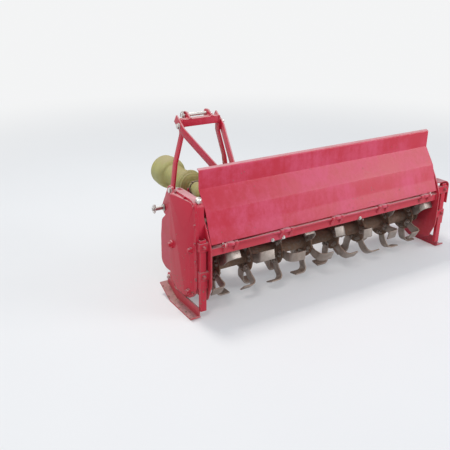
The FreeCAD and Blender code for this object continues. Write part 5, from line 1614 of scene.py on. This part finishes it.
class BuildDriveline(bpy.types.Operator):
    """Finish the driveline and make its plastic guard"""
    bl_idname = "tiller.driveline"
    bl_label = "Driveline and Guard"

    def execute(self, context):
        make_driveline()
        make_guard()
        return {"FINISHED"}


class BuildPins(bpy.types.Operator):
    """Finish the hitch pins and the hinge rod with their linch pins and cotters"""
    bl_idname = "tiller.pins"
    bl_label = "Pins"

    def execute(self, context):
        make_pins()
        return {"FINISHED"}


class BuildBolts(bpy.types.Operator):
    """Add the bolts and nuts of the housings, the mast and the skids"""
    bl_idname = "tiller.bolts"
    bl_label = "Bolts"

    def execute(self, context):
        make_case_bolts()
        make_housing_bolts()
        make_hitch_bolts()
        return {"FINISHED"}


class BuildWelds(bpy.types.Operator):
    """Lay the weld beads"""
    bl_idname = "tiller.welds"
    bl_label = "Weld Beads"

    def execute(self, context):
        make_welds()
        return {"FINISHED"}


class BuildSoil(bpy.types.Operator):
    """Scatter lumps of dry soil where they come to rest"""
    bl_idname = "tiller.soil"
    bl_label = "Dry Soil"

    def execute(self, context):
        make_soil()
        return {"FINISHED"}


OPERATORS = (BuildStage, BuildPlates, BuildBoard, BuildCastings, BuildRotor, BuildDriveline, BuildPins,
             BuildBolts, BuildWelds, BuildSoil)


class TillerPanel(bpy.types.Panel):
    """Sizes, colours and steps of the tiller"""
    bl_idname = "VIEW3D_PT_tiller"
    bl_label = "Rotary Tiller"
    bl_space_type = "VIEW_3D"
    bl_region_type = "UI"
    bl_category = "Tiller"

    def draw(self, context):
        scene = context.scene
        for settings in (scene.tiller_looks, scene.tiller_sizes, scene.tiller_stage):
            box = self.layout.box()
            for name in settings.__annotations__:
                box.prop(settings, name)
        for operator in OPERATORS:
            self.layout.operator(operator.bl_idname)


GROUPS_OF_SETTINGS = {"tiller_looks": TillerLooks, "tiller_sizes": TillerSizes, "tiller_stage": TillerStage}


def register():
    for settings in GROUPS_OF_SETTINGS.values():
        bpy.utils.register_class(settings)
    for name, settings in GROUPS_OF_SETTINGS.items():
        setattr(bpy.types.Scene, name, bpy.props.PointerProperty(type=settings))
    for cls in OPERATORS + (TillerPanel,):
        bpy.utils.register_class(cls)


def unregister():
    for cls in (TillerPanel,) + OPERATORS[::-1]:
        bpy.utils.unregister_class(cls)
    for name, settings in GROUPS_OF_SETTINGS.items():
        delattr(bpy.types.Scene, name)
        bpy.utils.unregister_class(settings)


def main():
    register()
    for operator in OPERATORS:
        group, name = operator.bl_idname.split(".")
        getattr(getattr(bpy.ops, group), name)()


if __name__ == "__main__":
    main()
